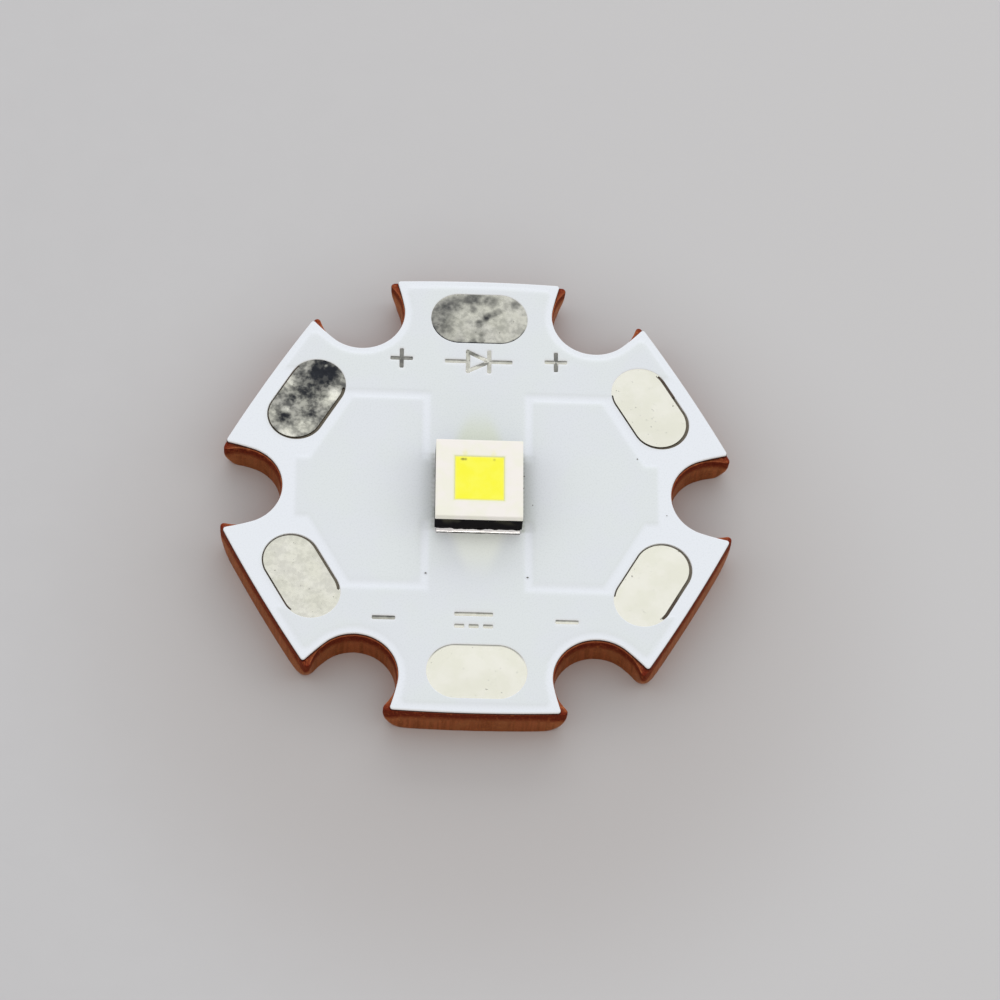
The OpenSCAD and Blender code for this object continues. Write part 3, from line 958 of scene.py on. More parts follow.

# %% [markdown]
# Molten tin levels itself on a pad, so a good pad is a smooth, slightly domed mirror. On two lugs the
# tin was wiped and scratched with a soldering iron: it is lumpy and dull. One finish serves all pads.
# It reads two attributes from the mesh: how dull and dark a spot is, and how much its scuffs vary. The
# dark colour is partly real dullness and partly painted dark reflection and painted shade. The solder at
# the LED is brighter, and a point attribute says where painted shade blackens it: a painted shadow at the
# bead's head and a painted dark reflection at its foot.

# %% Tin and solder finishes
def tin_finish():
    finish, tree, shader = new_finish("levelled_tin", {"Metallic": 1.0})
    place = object_place(tree)
    drift = cloud(tree, place, 0.9 * mm, 3.0)
    specks = cloud(tree, place, 0.11 * mm, 2.0)
    bright = mixed(tree, spread(tree, drift, 0.35, 0.65), (0.885, 0.87, 0.77, 1), (0.845, 0.835, 0.715, 1))
    bright = mixed(tree, spread(tree, specks, 0.70, 0.76), bright, (0.40, 0.39, 0.33, 1))
    scuffs = maths(tree, "ADD", cloud(tree, place, 0.5 * mm, 1.5), cloud(tree, place, 0.17 * mm, 2.0))
    scuffs = spread(tree, scuffs, 0.72, 1.28, -0.28, 0.28)
    share = maths(tree, "ADD", noted(tree, "dull_and_painted_shade"), maths(tree, "MULTIPLY", scuffs, noted(tree, "scuff")))
    share = spread(tree, share, -0.25, 1.3, -0.08, 1.0)
    # The dark colour stands partly for real dullness and partly for painted dark reflection and painted
    # shade.
    colour = mixed(tree, share, bright, (0.025, 0.027, 0.032, 1))
    tree.links.new(colour, shader.inputs["Base Color"])
    rough = maths(tree, "MULTIPLY_ADD", noted(tree, "dull_and_painted_shade"), 0.1, 0.22)
    tree.links.new(rough, shader.inputs["Roughness"])
    strength = maths(tree, "MULTIPLY_ADD", noted(tree, "scuff"), 0.6, 0.2)
    relief(tree, shader, cloud(tree, place, 0.26 * mm, 2.0), 0.03 * mm, strength)
    return finish


def solder_finish():
    finish, tree, shader = new_finish("bright_solder", {"Metallic": 1.0})
    place = object_place(tree)
    lumps = cloud(tree, object_place(tree, (1, 0.4, 0.4)), 0.42 * mm, 2.0)
    colour = mixed(tree, spread(tree, lumps, 0.42, 0.56), (0.80, 0.79, 0.80, 1), (0.96, 0.95, 0.95, 1))
    broken = maths(tree, "MULTIPLY_ADD", lumps, 1.1, -0.55)
    # Painted shade: a painted shadow under the ceramic at the bead's head and a painted dark reflection at
    # its foot.
    bead_shade = spread(tree, maths(tree, "ADD", noted(tree, "foot"), broken), 0.4, 0.65)
    colour = mixed(tree, bead_shade, colour, (0.012, 0.011, 0.010, 1))
    tree.links.new(colour, shader.inputs["Base Color"])
    uneven_gloss(tree, shader, cloud(tree, place, 0.1 * mm), 0.14, 0.34)
    relief(tree, shader, lumps, 0.02 * mm, 0.6)
    return finish


levelled_tin = tin_finish()
bright_solder = solder_finish()
print("tin and solder mixed")

# %% [markdown]
# Six puddles of one kind are a task for Geometry Nodes. The tree takes the flat tin of one pad, raises
# it to a dome by the attribute `rim`, the distance to the pad's edge, and adds lumps. Crown, crumple,
# lump size and seed are inputs, so each pad is its own.

# %% Tree for a puddle of tin
def puddle_tree():
    inputs = {label: "Float" for label in ("Crown", "Crumple", "Lump Size", "Seed")}
    tree, given = new_tree("tin_puddle", {**inputs, "Finish": "Material"})
    rim = noted_point(tree, "rim")
    place = wire(tree, "GeometryNodeInputPosition").outputs[0]
    scale = maths(tree, "DIVIDE", 1.0, given["Lump Size"])
    lumps = maths(tree, "SUBTRACT", seeded_cloud(tree, place, scale, given["Seed"], 2.5), 0.5)
    lumps = maths(tree, "MULTIPLY", lumps, given["Crumple"])
    lumps = maths(tree, "MULTIPLY", lumps, noted_point(tree, "crumple"))
    dome = maths(tree, "MULTIPLY", spread(tree, rim, 0.0, 1.0), given["Crown"])
    height = maths(tree, "ADD", dome, maths(tree, "MULTIPLY", lumps, spread(tree, rim, 0.0, 0.35)))
    offset = wire(tree, "ShaderNodeCombineXYZ", {"Z": height}).outputs[0]
    end_tree(tree, moved(tree, given["Geometry"], offset), given["Finish"])
    return tree


puddle = puddle_tree()
print("the puddle has", len(puddle.nodes), "nodes")

# %% [markdown]
# The shape of each puddle is the overlap of the pad's opening and the foil below it. Dull, dark and lumpy
# spots are placed in pad coordinates, along and across the pad in millimetres, by a few soft patches with a
# reach and a share. Their darkness is partly real dull tin and partly painted dark reflection. On two pads
# a painted shade line follows the inner edge, below the step of the mask.

# %% The six pads
tin_edge = 0.022 * mm
tin_gap = -0.01 * mm
tin_grid = 0.05 * mm
tin_spacing = 0.06 * mm
tin_steps = (0, 0.02 * mm)
darkest = 1.3
smooth_pad = dict(crown=0.026 * mm, crumple=0.006 * mm, lump=0.5 * mm)
smooth_pad.update(base=0.0, scuff=0.0, line=0.0, patches=[])
# Patches of darkness: partly real dull tin, partly painted dark reflection.
top_patches = [
    (-1.75, -0.2, 1.1, 0.36), (-1.0, 0.65, 0.6, 0.38), (-1.45, 0.5, 0.4, 0.2), (-0.3, 0.95, 0.5, 0.4),
    (0.5, 0.85, 0.4, 0.3), (0.1, 0.95, 0.4, 0.2), (0.55, 0.2, 0.26, 0.36), (0.8, 0.36, 0.26, 0.34),
    (0.35, 0.12, 0.24, 0.34), (0.03, -0.23, 0.26, 0.4), (0.3, 0.0, 0.2, 0.35), (0.14, -0.75, 0.2, 0.3),
    (0.14, -1.0, 0.2, 0.34), (-0.22, 0.42, 0.24, 0.26), (1.5, 0.7, 0.3, 0.3), (-0.2, -1.1, 0.25, 0.3),
    (-0.8, -1.0, 0.3, 0.2),
]
left_patches = [
    (1.5, 0.08, 0.8, 0.5), (1.6, 0.2, 0.5, 0.25), (1.15, -0.1, 0.5, 0.25), (0.6, 0.2, 0.9, 0.26),
    (-1.13, 0.27, 0.36, 0.32), (-0.22, 0.5, 0.28, 0.32), (-0.42, -0.56, 0.24, 0.25),
    (0.75, -0.9, 0.42, -0.65), (0.3, -0.75, 0.3, -0.4), (-1.75, -0.2, 0.6, -0.45),
    (-1.1, -0.6, 0.5, -0.35), (-0.85, 0.45, 0.25, -0.5), (-1.4, 0.8, 0.4, -0.3),
    (0.3, 1.05, 0.5, -0.35), (1.75, 0.12, 0.1, -0.7),
]
rough_top = dict(crown=0.028 * mm, crumple=0.045 * mm, base=0.46, scuff=0.45, line=0.7, patches=top_patches)
rough_left = dict(crumple=0.06 * mm, lump=0.3 * mm, base=0.78, scuff=0.78, patches=left_patches)
# The line value is the share of a painted shade line along a pad's inner edge.
pad_looks = {
    "bottom": {**smooth_pad, "seed": 1.0, "line": 0.75},
    "lower_right": {**smooth_pad, "seed": 2.0},
    "upper_right": {**smooth_pad, "seed": 3.0, "base": 0.05},
    "lower_left": {**smooth_pad, "seed": 4.0, "base": 0.21, "scuff": 0.3},
    "top": {**smooth_pad, **rough_top, "seed": 5.0},
    "upper_left": {**smooth_pad, **rough_left, "seed": 6.0},
}


def pad_dullness_and_shade(spot, depth, look):
    """How dull and dark each spot is: dull tin, painted dark reflection, and a painted shade line inside."""
    dull_and_painted_shade = np.full(len(spot), look["base"])
    for x, y, reach, share in look["patches"]:
        dull_and_painted_shade = dull_and_painted_shade + share * (1 - smooth(0.3 * reach, reach, abs(spot - complex(x, y))))
    # A painted shade line along the inner edge, below the step of the mask.
    inward = smooth(0.2, 0.8, -spot.imag * mm / (pad_width / 2))
    dull_and_painted_shade = dull_and_painted_shade + look["line"] * inward * (1 - smooth(0.02 * mm, 0.07 * mm, depth))
    return np.clip(dull_and_painted_shade, 0, darkest)


def build_pad(name, angle, look):
    def inside(p):
        return np.minimum(pad_depth(p - mask_shift, angle) - tin_gap, foil_depth(p))

    middle = cmath.rect(pad_radius, angle)
    grid = hex_grid(pad_length / 2, pad_length / 2, tin_grid, middle)
    grid = grid[inside(grid) > 0.03 * mm]
    outline = [obround_loop(angle, -tin_gap - step, tin_spacing) + mask_shift for step in tin_steps]
    outline += [obround_loop(angle, -pad_gap - step, tin_spacing) for step in tin_steps]
    points, triangles, rim = cut_sheet(outline, grid, inside)
    depth = np.clip(inside(points), 0, None)
    tin = thick_sheet("tin_" + name, points, triangles, rim, foil_top + tin_edge, foil_top + 0.001 * mm)
    dull_and_painted_shade = pad_dullness_and_shade((points - middle) * cmath.exp(-1j * (angle - math.pi / 2)) / mm, depth, look)
    note(tin, "rim", np.append(depth / (pad_width / 2), np.zeros(len(points))))
    note(tin, "dull_and_painted_shade", np.tile(dull_and_painted_shade, 2))
    note(tin, "crumple", np.tile(np.minimum(0.3 + dull_and_painted_shade, 1), 2))
    note(tin, "scuff", np.full(2 * len(points), look["scuff"]))
    values = {"Crown": look["crown"], "Crumple": look["crumple"], "Lump Size": look["lump"]}
    return grown(tin, puddle, {**values, "Seed": look["seed"], "Finish": levelled_tin})


for name, angle in zip(pad_names, pad_angles):
    done(build_pad(name, angle, pad_looks[name]), "tin", "tin_pad_" + name)

# %% [markdown]
# The strokes of the signs show the tinned foil at their bottom. A tree follows the strokes as paths and
# sweeps a low, flattened section along them. Each stroke has two shares of darkness painted into the tin:
# one for its body, a painted dark reflection, and one for its upper edge, a painted shade of the mask's wall.

# %% Tin in the signs
sign_height = 0.03 * mm
sign_overlap = 0.03 * mm
sign_scuff = 0.3
# Body and edge shares: a painted dark reflection on each stroke and painted shade along its upper edge.
stroke_looks = [(0.75, 0.2), (0.85, 0.1), (0.3, 0.55), (0.85, 0.1), (0.5, 0.5), (0.0, 0.85)]
stroke_looks += [(0.3, 0.55)] * 6 + [(0.1, 0.7)] * 4


def stroke_tree():
    tree, given = new_tree("tin_strokes", {"Width": "Float", "Height": "Float", "Finish": "Material"})
    path = wire(tree, "GeometryNodeMeshToCurve", {"Mesh": given["Geometry"]}).outputs[0]
    path = wire(tree, "GeometryNodeResampleCurve", {"Curve": path, "Count": 8}, mode="COUNT").outputs[0]
    section = wire(tree, "GeometryNodeCurvePrimitiveCircle", {"Resolution": 12, "Radius": 0.5}).outputs[0]
    inputs = {"X": given["Width"], "Y": given["Height"], "Z": 1.0}
    size = wire(tree, "ShaderNodeCombineXYZ", inputs).outputs[0]
    section = wire(tree, "GeometryNodeTransform", {"Geometry": section, "Scale": size}).outputs[0]
    inputs = {"Curve": path, "Profile Curve": section, "Fill Caps": True}
    end_tree(tree, wire(tree, "GeometryNodeCurveToMesh", inputs).outputs[0], given["Finish"])
    return tree


def build_strokes():
    ends = []
    for middle, length, turn in strokes:
        reach = length / 2 * cmath.exp(1j * turn)
        ends += [middle - reach, middle + reach]
    mesh = bpy.data.meshes.new("sign_tin")
    lines = [(2 * i, 2 * i + 1) for i in range(len(strokes))]
    mesh.from_pydata(at_height(np.array(ends), foil_top + 0.004 * mm).tolist(), lines, [])
    sizes = {"Width": stroke_width + sign_overlap, "Height": sign_height, "Finish": levelled_tin}
    return grown(placed("sign_tin", mesh), stroke_tree(), sizes)


def stroke_dullness_and_shade(p):
    """How dark each point of the signs is: painted dark reflection for its stroke, painted shade on its upper
    edge.
    """
    nearest = np.full(p.shape, -np.inf)
    dull_and_painted_shade = np.zeros(p.shape)
    for (middle, length, turn), (body, edge) in zip(strokes, stroke_looks):
        depth = bar_depth(p, middle, length, stroke_width, turn)
        raised = (p - middle).imag / (stroke_width / 2) if abs(math.sin(turn)) < 0.8 else 0 * depth
        value = body + edge * smooth(-0.3, 0.6, raised)
        dull_and_painted_shade = np.where(depth > nearest, value, dull_and_painted_shade)
        nearest = np.maximum(depth, nearest)
    return np.clip(dull_and_painted_shade, 0, 1)


signs = build_strokes()
note(signs, "scuff", np.full(len(signs.data.vertices), sign_scuff))
note(signs, "dull_and_painted_shade", stroke_dullness_and_shade(flat_places(signs)))
done(signs, "tin")

# %% [markdown]
# The LED is a small sandwich: a dark ceramic base with sawn, slightly broken edges, lighter olive in
# patches towards its top, a white silicone frame cast on top, and the yellow phosphor square over the chip.

# %% LED finishes
def ceramic_finish():
    finish, tree, shader = new_finish("dark_ceramic", {"Specular IOR Level": 0.03})
    place = object_place(tree)
    saw = cloud(tree, object_place(tree, (1, 1, 0.25)), 0.09 * mm, 3.0)
    # Lighter olive patches towards the top of the ceramic.
    lighter_top = spread(tree, cloud(tree, place, 0.9 * mm, 2.0), 0.45, 0.7)
    lighter_top = maths(tree, "MULTIPLY", lighter_top, noted(tree, "upper"))
    colour = mixed(tree, spread(tree, saw, 0.35, 0.7), (0.0035, 0.003, 0.004, 1), (0.009, 0.008, 0.009, 1))
    colour = mixed(tree, lighter_top, colour, (0.05, 0.048, 0.034, 1))
    tree.links.new(colour, shader.inputs["Base Color"])
    uneven_gloss(tree, shader, saw, 0.45, 0.65)
    relief(tree, shader, saw, 0.01 * mm, 0.5)
    return finish


def silicone_finish():
    finish, tree, shader = new_finish("white_silicone", {"Specular IOR Level": 0.3, "Roughness": 0.42})
    place = object_place(tree)
    drift = cloud(tree, place, 0.8 * mm, 2.0)
    colour = mixed(tree, spread(tree, drift, 0.35, 0.65), srgb(245, 241, 236), srgb(242, 241, 228))
    colour = mixed(tree, noted(tree, "halo"), colour, srgb(226, 232, 176))
    colour = mixed(tree, noted(tree, "wire"), colour, srgb(238, 238, 158))
    tree.links.new(colour, shader.inputs["Base Color"])
    relief(tree, shader, cloud(tree, place, 0.12 * mm), 0.006 * mm, 0.5)
    return finish


def phosphor_finish():
    # The emission is a painted glow: the phosphor shines a little though the LED is off.
    constants = {"Roughness": 0.5, "Specular IOR Level": 0.3, "Emission Strength": 0.06}
    constants["Emission Color"] = srgb(250, 246, 70)
    finish, tree, shader = new_finish("yellow_phosphor", constants)
    place = object_place(tree)
    grain = cloud(tree, place, 0.035 * mm, 2.0)
    drift = cloud(tree, place, 0.7 * mm, 2.0)
    colour = mixed(tree, spread(tree, drift, 0.35, 0.65), srgb(246, 243, 58), srgb(247, 245, 80))
    colour = mixed(tree, spread(tree, grain, 0.58, 0.75, 0.0, 0.35), colour, srgb(244, 236, 50))
    colour = mixed(tree, noted(tree, "border"), colour, srgb(240, 236, 150))
    colour = mixed(tree, noted(tree, "bond"), colour, srgb(92, 84, 52))
    tree.links.new(colour, shader.inputs["Base Color"])
    relief(tree, shader, grain, 0.004 * mm, 0.5)
    return finish


dark_ceramic = ceramic_finish()
white_silicone = silicone_finish()
yellow_phosphor = phosphor_finish()
print("LED finishes mixed")

# %% [markdown]
# All layers of the LED are rounded squares about one middle. A stack of such squares, each with its own
# half width and height, is lofted into a body. A broken edge is three close steps in the stack.

# %% Rounded squares
square_corner = 0.03 * mm
steps_per_side = 24
edge_steps = [(1, 0), (0.3, 0.3), (0, 1)]
frame_low, frame_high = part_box("white_frame")
phosphor_low, phosphor_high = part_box("phosphor_plate")
phosphor_half = (phosphor_high.x - phosphor_low.x) / 2


def square_stack(levels):
    """Rings of rounded squares. Levels are pairs of half width and height."""
    side = max(half for half, z in levels)
    loop = bar_loop(0j, 2 * side, 2 * side, 0, 0, square_corner, 2 * side / steps_per_side)
    return [at_height(loop * (half / side) + led_middle, z) for half, z in levels]


print("LED", round(2 * ceramic_half / mm, 2), "mm square, phosphor", round(2 * phosphor_half / mm, 2), "mm")

# %% [markdown]
# The ceramic and the white frame are diced out of one panel with a saw, so their sides are flush and only
# the arrises are broken. The frame's top lies a hair lower inside its rim and dips at the phosphor. There
# it is tinted yellow, and two traces show where the bond wires run below it.

# %% Ceramic base and white frame
base_edge = 0.035 * mm
frame_edge = 0.03 * mm
frame_hollow = 0.004 * mm
wire_traces = [(-0.58 * mm, 0.5), (0.55 * mm, 0.4)]


def build_ceramic():
    low, high = led_low.z, led_high.z
    levels = [(ceramic_half * share, low) for share in (0.6, 0.9)]
    levels += [(ceramic_half - inward * base_edge, low + up * base_edge) for inward, up in edge_steps]
    levels += [(ceramic_half, z) for z in np.linspace(low + 0.15 * mm, high, 8)]
    levels += [(ceramic_half * share, high) for share in (0.9, 0.6)]
    base = lofted("ceramic_base", square_stack(levels))
    height = np.array([v.co.z for v in base.data.vertices])
    note(base, "upper", smooth(low + 0.2 * mm, high, height))
    base.data.materials.append(dark_ceramic)
    return base


def frame_levels():
    """The section of the frame: up the outer side, over the top and down at the phosphor."""
    low, top, outer, inner = frame_low.z, frame_high.z, ceramic_half, phosphor_half
    levels = [(inner, low), (outer, low), (outer, top - 0.12 * mm)]
    levels += [(outer - inward * frame_edge, top - down * frame_edge) for down, inward in edge_steps]
    flat = np.linspace(outer - 3 * frame_edge, inner + 0.06 * mm, 14)
    levels += [(half, top - frame_hollow) for half in flat]
    return levels + [(inner + 0.02 * mm, top - 0.006 * mm), (inner, top - 0.02 * mm), (inner, low)]


def build_frame():
    moulding = lofted("silicone_frame", square_stack(frame_levels()), closed_ends=False)
    turned_outward(moulding.data, 0.0005 * mm)
    spot = flat_places(moulding) - led_middle
    from_chip = np.maximum(abs(spot.real), abs(spot.imag)) - phosphor_half
    note(moulding, "halo", 0.8 * (1 - smooth(0.0, 0.09 * mm, from_chip)))
    behind = (spot.imag > phosphor_half - 0.01 * mm) * (1 - smooth(0.1 * mm, 0.42 * mm, from_chip))
    trace = np.zeros(len(spot))
    for x, share in wire_traces:
        trace += share * behind * (1 - smooth(0.04 * mm, 0.13 * mm, abs(spot.real - x)))
    note(moulding, "wire", trace)
    moulding.data.materials.append(white_silicone)
    return moulding


done(build_ceramic(), "dark_ceramic", "led_ceramic")
done(build_frame(), "white_silicone", "white_frame")

# %% [markdown]
# The phosphor is cast over the chip. Near its back edge two bond wires leave the chip, and their dark
# feet shimmer through as small marks with a slight bump.

# %% Phosphor
phosphor_gap = 0.004 * mm
phosphor_grid = 0.04 * mm
phosphor_drop = 0.022 * mm
dome_height, dome_run = 0.008 * mm, 0.08 * mm
bond_height, bond_width = 0.01 * mm, 0.08 * mm
bond_from_edge = 0.13 * mm
bond_marks = [(-0.66 * mm, 0.13 * mm, 0.8), (-0.55 * mm, 0.07 * mm, 0.7), (0.58 * mm, 0.08 * mm, 0.35)]


def build_phosphor():
    half = phosphor_half - phosphor_gap

    def inside(p):
        return bar_depth(p, led_middle, 2 * half, 2 * half, 0, square_corner)

    outline = bar_loop(led_middle, 2 * half, 2 * half, 0, 0, square_corner, phosphor_grid)
    grid = hex_grid(half, half, phosphor_grid, led_middle)
    grid = grid[inside(grid) > phosphor_grid / 2]
    points, triangles, rim = cut_sheet([outline], grid, inside)
    depth = np.clip(inside(points), 0, None)
    bond = np.zeros(len(points))
    for x, length, share in bond_marks:
        off = points - led_middle - complex(x, half - bond_from_edge)
        away = np.hypot(off.real / length, off.imag / bond_width)
        bond = np.maximum(bond, share * (1 - smooth(0.3, 1.0, away)))
    dome = dome_height * np.sqrt(np.clip(depth / dome_run, 0, 1))
    top = phosphor_high.z - phosphor_drop + dome + bond_height * bond
    square = thick_sheet("phosphor_square", points, triangles, rim, top, phosphor_low.z)
    note(square, "bond", np.tile(bond, 2))
    note(square, "border", np.tile(0.7 * (1 - smooth(0, 0.07 * mm, depth)), 2))
    square.data.materials.append(yellow_phosphor)
    return square


done(build_phosphor(), "phosphor", "phosphor_plate")

# %% [markdown]
# The solder under the LED's two terminals swells out in a thin bead. Its middle mirrors the light tent,
# while its head and foot are painted dark: a painted shadow under the ceramic at the head and a painted dark
# reflection at the foot, which draws one bright line between two dark ones. The bead is a section lofted
# along the terminal, with small random lumps, and both sides share it.

# %% Solder beads
foot_z = foil_top + 0.02 * mm
bead_steps = 9
bead_count = 90
lump_out, lump_up = 0.02 * mm, 0.012 * mm
# Share of painted shade across the section: high at the head and the foot, low on the bright middle.
foot_share = np.concatenate([abs(np.linspace(1, -1.2, bead_steps)) ** 1.5, [0, 0, 0, 1]])
draw = np.random.default_rng(7)


def fillet_section(inner_y, back_z):
    """Distances from the LED's middle and heights, from the foot over the bead to the head and back."""
    foot_y = ceramic_half + solder_reach
    head_y = ceramic_half - 0.06 * mm
    head_z = led_low.z - 0.004 * mm
    sweep = np.linspace(0, math.pi / 2, bead_steps)
    bead_y = head_y + (foot_y - head_y) * np.cos(sweep)
    bead_z = foot_z + (head_z - foot_z) * np.sin(sweep)
    y = np.concatenate([bead_y, [head_y - 0.01 * mm, inner_y, inner_y, foot_y]])
    z = np.concatenate([bead_z, [back_z, back_z, foil_top, foil_top]])
    return y, z


def build_fillet(name, node, side):
    low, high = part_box(node)
    inner_y = abs((high.y if side < 0 else low.y) - led_middle.imag)
    y, z = fillet_section(inner_y, high.z - 0.05 * mm)
    lump = np.convolve(draw.normal(0, 1, bead_count + 8), np.ones(5) / 5, "same")[4:-4]
    share = np.zeros(len(y))
    share[1:bead_steps] = np.sin(np.linspace(0.2, math.pi - 0.2, bead_steps - 1))
    rings = []
    for x, swell in zip(np.linspace(low.x, high.x, bead_count), lump):
        out = np.minimum(y + share * swell * lump_out, y[0])
        rise = z + share * swell * lump_up
        rings.append(np.column_stack([np.full(len(y), x), led_middle.imag + side * out, rise]))
    fillet = lofted(name, rings)
    note(fillet, "foot", np.tile(foot_share, bead_count))
    fillet.data.materials.append(bright_solder)
    return fillet


for name, node, side in (("front_fillet", "cathode_solder", -1), ("back_fillet", "anode_solder", 1)):
    done(build_fillet(name, node, side), "solder", node)

# %% [markdown]
# A few specks of dirt lie on the mask. They are one small pebble, placed on points with a random size
# from a fixed seed.

# %% Specks
speck_size = 0.075 * mm
speck_sink = 0.01 * mm
speck_spots = [6.37 + 1.63j, 7.52 - 0.89j, -2.0 - 3.74j, 2.0 - 3.82j, 2.2 - 0.6j, 1.86 + 0.7j, 1.84 + 0.15j]


def dirt_finish():
    finish, tree, shader = new_finish("dark_dirt", {"Roughness": 0.7})
    place = object_place(tree)
    colour = mixed(tree, cloud(tree, place, 0.04 * mm), (0.05, 0.045, 0.04, 1), (0.16, 0.15, 0.13, 1))
    tree.links.new(colour, shader.inputs["Base Color"])
    return finish


def speck_tree():
    tree, given = new_tree("specks", {"Size": "Float", "Seed": "Int", "Finish": "Material"})
    pebble = wire(tree, "GeometryNodeMeshIcoSphere", {"Radius": 0.5, "Subdivisions": 2}).outputs[0]
    place = wire(tree, "GeometryNodeInputPosition").outputs[0]
    dents = wire(tree, "ShaderNodeTexNoise", {"Vector": place, "Scale": 2.0}).outputs["Color"]
    pebble = moved(tree, pebble, vectors(tree, "SUBTRACT", dents, (0.5, 0.5, 0.5)))
    inputs = {"Min": (0.6, 0.5, 0.3), "Max": (1.3, 1.0, 0.5), "Seed": given["Seed"]}
    shape = wire(tree, "FunctionNodeRandomValue", inputs, data_type="FLOAT_VECTOR").outputs[0]
    shape = vectors(tree, "SCALE", shape, given["Size"])
    inputs = {"Points": given["Geometry"], "Instance": pebble, "Scale": shape}
    end_tree(tree, wire(tree, "GeometryNodeInstanceOnPoints", inputs).outputs[0], given["Finish"])
    return tree


mesh = bpy.data.meshes.new("dirt_specks")
mesh.from_pydata(at_height(np.array(speck_spots) * mm, mask_top - speck_sink).tolist(), [], [])
specks = placed("dirt_specks", mesh)
grown(specks, speck_tree(), {"Size": speck_size, "Seed": 4, "Finish": dirt_finish()})
done(specks, "insulation")

# %% [markdown]
# Between the plate and the circuit lies a thin sheet of filled resin. Only its edge shows, as a dark seam
# under the white rim, so it is cut along the mask's own outline, a hair further out, and left open where
# the plate stands up through it.

# %% The insulation
insulation_setback = mask_setback - 0.01 * mm
insulation_grid = 0.4 * mm


def insulation_finish():
    finish, tree, shader = new_finish("board_insulation", {"Specular IOR Level": 0.2})
    place = object_place(tree)
    colour = mixed(tree, cloud(tree, place, 0.08 * mm), srgb(104, 98, 86), srgb(132, 124, 110))
    colour = mixed(tree, noted(tree, "edge"), colour, srgb(60, 27, 19))
    tree.links.new(colour, shader.inputs["Base Color"])
    uneven_gloss(tree, shader, cloud(tree, place, 0.05 * mm), 0.5, 0.75)
    return finish


def insulation_depth(p):
    outline = star_depth(p - outline_shift, insulation_setback, mask_tip, mask_widen, mask_spread)
    return np.minimum(outline, -island_depth(p))


def build_insulation():
    grid = hex_grid(cad_high.x, cad_high.y, insulation_grid)
    grid = grid[insulation_depth(grid) > insulation_grid / 4]
    loops = [mask_outline(insulation_setback, mask_tip), pedestal_points()]
    points, triangles, rim = cut_sheet(loops, grid, insulation_depth)
    sheet = thick_sheet("insulation_sheet", points, triangles, rim, insulation_top, core_top)
    edge = 1 - smooth(0.15 * mm, 0.45 * mm, star_depth(points, 0, mask_tip))
    note(sheet, "edge", np.tile(edge, 2))
    sheet.data.materials.append(insulation_finish())
    return sheet


done(build_insulation(), "insulation", "dielectric")

# %% [markdown]
# The nodes that keep their CAD form get finishes too: the foil, the joint under the LED's heat pad, and
# the parts inside the LED. They hide under the mask and the phosphor, and show when the part is opened.

# %% Finishes of the carried-over nodes
def plain_metal(name, first, second, low, high):
    finish, tree, shader = new_finish(name, {"Metallic": 1.0})
    place = object_place(tree)
    colour = mixed(tree, cloud(tree, place, 0.12 * mm), first, second)
    tree.links.new(colour, shader.inputs["Base Color"])
    uneven_gloss(tree, shader, cloud(tree, place, 0.04 * mm), low, high)
    return finish


plating = plain_metal("gold_plating", (0.80, 0.55, 0.20, 1), (0.95, 0.72, 0.33, 1), 0.2, 0.35)
chip = plain_metal("chip_surface", (0.10, 0.13, 0.17, 1), (0.22, 0.26, 0.30, 1), 0.15, 0.3)
finishes = {
    "positive_foil": etched_foil, "negative_foil": etched_foil,
    "thermal_solder": bright_solder, "die_attach": bright_solder, "thermal_terminal": plating,
    "anode_lead": plating, "cathode_lead": plating, "bond_wire_left": plating, "bond_wire_right": plating,
    "surge_wire": plating, "led_die": chip, "surge_diode": chip,
}
for name, finish in finishes.items():
    for slot in nodes[name].material_slots:
        slot.material = finish
print(len(finishes), "CAD nodes finished")

# %% [markdown]
# The stage is a sheet of pale paper, painted a little lighter towards +X as a painted light gradient. A
# soft, darker and warmer painted shadow lies under and in front of the board, standing for the board's
# shade and the copper's warm bounce light.

# %% Floor
floor_half = 0.6
painted_shadow_middle = (0, -5 * mm, 0)


def paper_finish():
    finish, tree, shader = new_finish("pale_paper", {"Roughness": 0.9, "Specular IOR Level": 0.15})
    place = object_place(tree)
    side = wire(tree, "ShaderNodeSeparateXYZ", {"Vector": place}).outputs["X"]
    pulp = cloud(tree, place, 1.5 * mm, 4.0)
    colour = mixed(tree, pulp, (0.538, 0.537, 0.548, 1), (0.558, 0.557, 0.568, 1))
    # Painted light: the paper turns a little lighter towards +X.
    colour = mixed(tree, spread(tree, side, -22 * mm, 22 * mm), colour, (0.568, 0.565, 0.572, 1))
    # Painted shadow: darker, warmer paper around a middle in front of the board.
    painted_shadow = spread(tree, vectors(tree, "DISTANCE", place, painted_shadow_middle), 9 * mm, 20 * mm, 0.68, 0.0)
    colour = mixed(tree, painted_shadow, colour, (0.450, 0.428, 0.422, 1))
    tree.links.new(colour, shader.inputs["Base Color"])
    relief(tree, shader, cloud(tree, place, 0.4 * mm), 0.01 * mm, 0.3)
    return finish


corners = np.array([(-1, -1, 0), (1, -1, 0), (1, 1, 0), (-1, 1, 0)]) * floor_half
floor = piece_from("paper_floor", corners, [(0, 1, 2, 3)])
floor.data.materials.append(paper_finish())
floor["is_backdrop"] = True
print("paper", 2 * floor_half, "m wide")

# %% [markdown]
# The light is that of a small tent. The world is a soft gradient, brighter and cooler behind the board,
# so level tin mirrors it and the shadow falls towards the viewer. Four large soft boxes give direction:
# the one behind is the main one, and a warm one in front lights the copper wall.

# %% Light
box_distance = 0.40


def way_to(azimuth, elevation):
    """The direction of a place around the object, from angles in degrees. Azimuth 0 is in front."""
    a, e = math.radians(azimuth), math.radians(elevation)
    return Vector((math.sin(a) * math.cos(e), -math.cos(a) * math.cos(e), math.sin(e)))


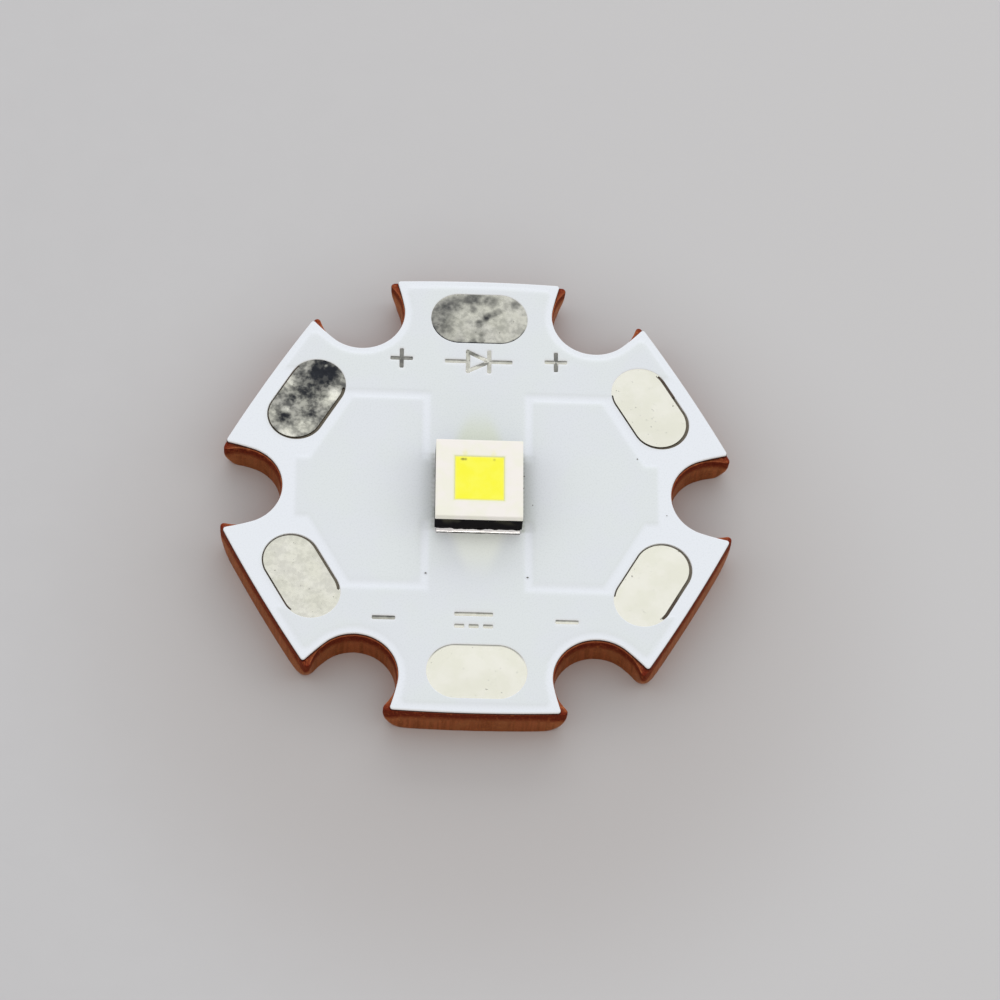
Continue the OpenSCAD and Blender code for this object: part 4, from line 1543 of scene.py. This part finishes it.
def soft_box(name, azimuth, elevation, width, height, radiance, colour=(1, 1, 1)):
    """An area light that faces the object. Its power follows from how bright its face should look."""
    light = bpy.data.lights.new(name, "AREA")
    light.shape = "RECTANGLE"
    light.size = width
    light.size_y = height
    light.energy = radiance * math.pi * width * height
    light.color = colour
    back = way_to(azimuth, elevation)
    lamp = placed(name, light)
    lamp.location = back * box_distance
    lamp.rotation_euler = back.to_track_quat("Z", "Y").to_euler()


def tent_world(front, back):
    world = bpy.data.worlds.new("light_tent")
    world.use_nodes = True
    tree = world.node_tree
    way = wire(tree, "ShaderNodeTexCoord").outputs["Generated"]
    axes = wire(tree, "ShaderNodeSeparateXYZ", {"Vector": way})
    colour = mixed(tree, spread(tree, axes.outputs["Y"], -0.6, 0.6), front, back)
    tree.links.new(colour, tree.nodes["Background"].inputs["Color"])
    bpy.context.scene.world = world


tent_world((0.71, 0.685, 0.655, 1), (0.95, 0.96, 0.98, 1))
soft_box("back_box", 176, 27, 0.46, 0.14, 1.7)
soft_box("left_box", 265, 30, 0.24, 0.14, 0.8)
soft_box("right_box", 95, 30, 0.24, 0.14, 1.1)
soft_box("front_box", 0, 16, 0.36, 0.12, 1.15, (1.0, 0.96, 0.91))
print(len(bpy.data.lights), "soft boxes")

# %% [markdown]
# The camera stands in front of the board, looks down at 61 degrees and is rolled a little. Its place is
# worked out from those angles, and the view transform is set to Standard so that colours stay as mixed.

# %% Camera
camera_azimuth = -5.072
camera_elevation = 61.121
camera_roll = math.radians(6.051)
camera_distance = 153.536 * mm
camera_target = Vector((0.9076, -0.3518, 1.51)) * mm
back = way_to(camera_azimuth, camera_elevation)
right = Vector((math.cos(math.radians(camera_azimuth)), math.sin(math.radians(camera_azimuth)), 0))
up = back.cross(right)
rolled_right = right * math.cos(camera_roll) + up * math.sin(camera_roll)
rolled_up = up * math.cos(camera_roll) - right * math.sin(camera_roll)
view = bpy.data.cameras.new("camera")
view.lens = 139.6
view.sensor_width = 36
view.clip_start = 0.01
camera = placed("camera", view)
turned = Matrix((rolled_right, rolled_up, back)).transposed().to_4x4()
camera.matrix_world = Matrix.Translation(camera_target + back * camera_distance) @ turned
bpy.context.scene.camera = camera
bpy.context.scene.view_settings.view_transform = "Standard"
print("camera", round(camera_distance / mm, 1), "mm away with a lens of", round(view.lens, 1), "mm")

# %% Finish
low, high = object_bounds()
print("dressed box in mm:", [round(side / mm, 3) for side in high - low])
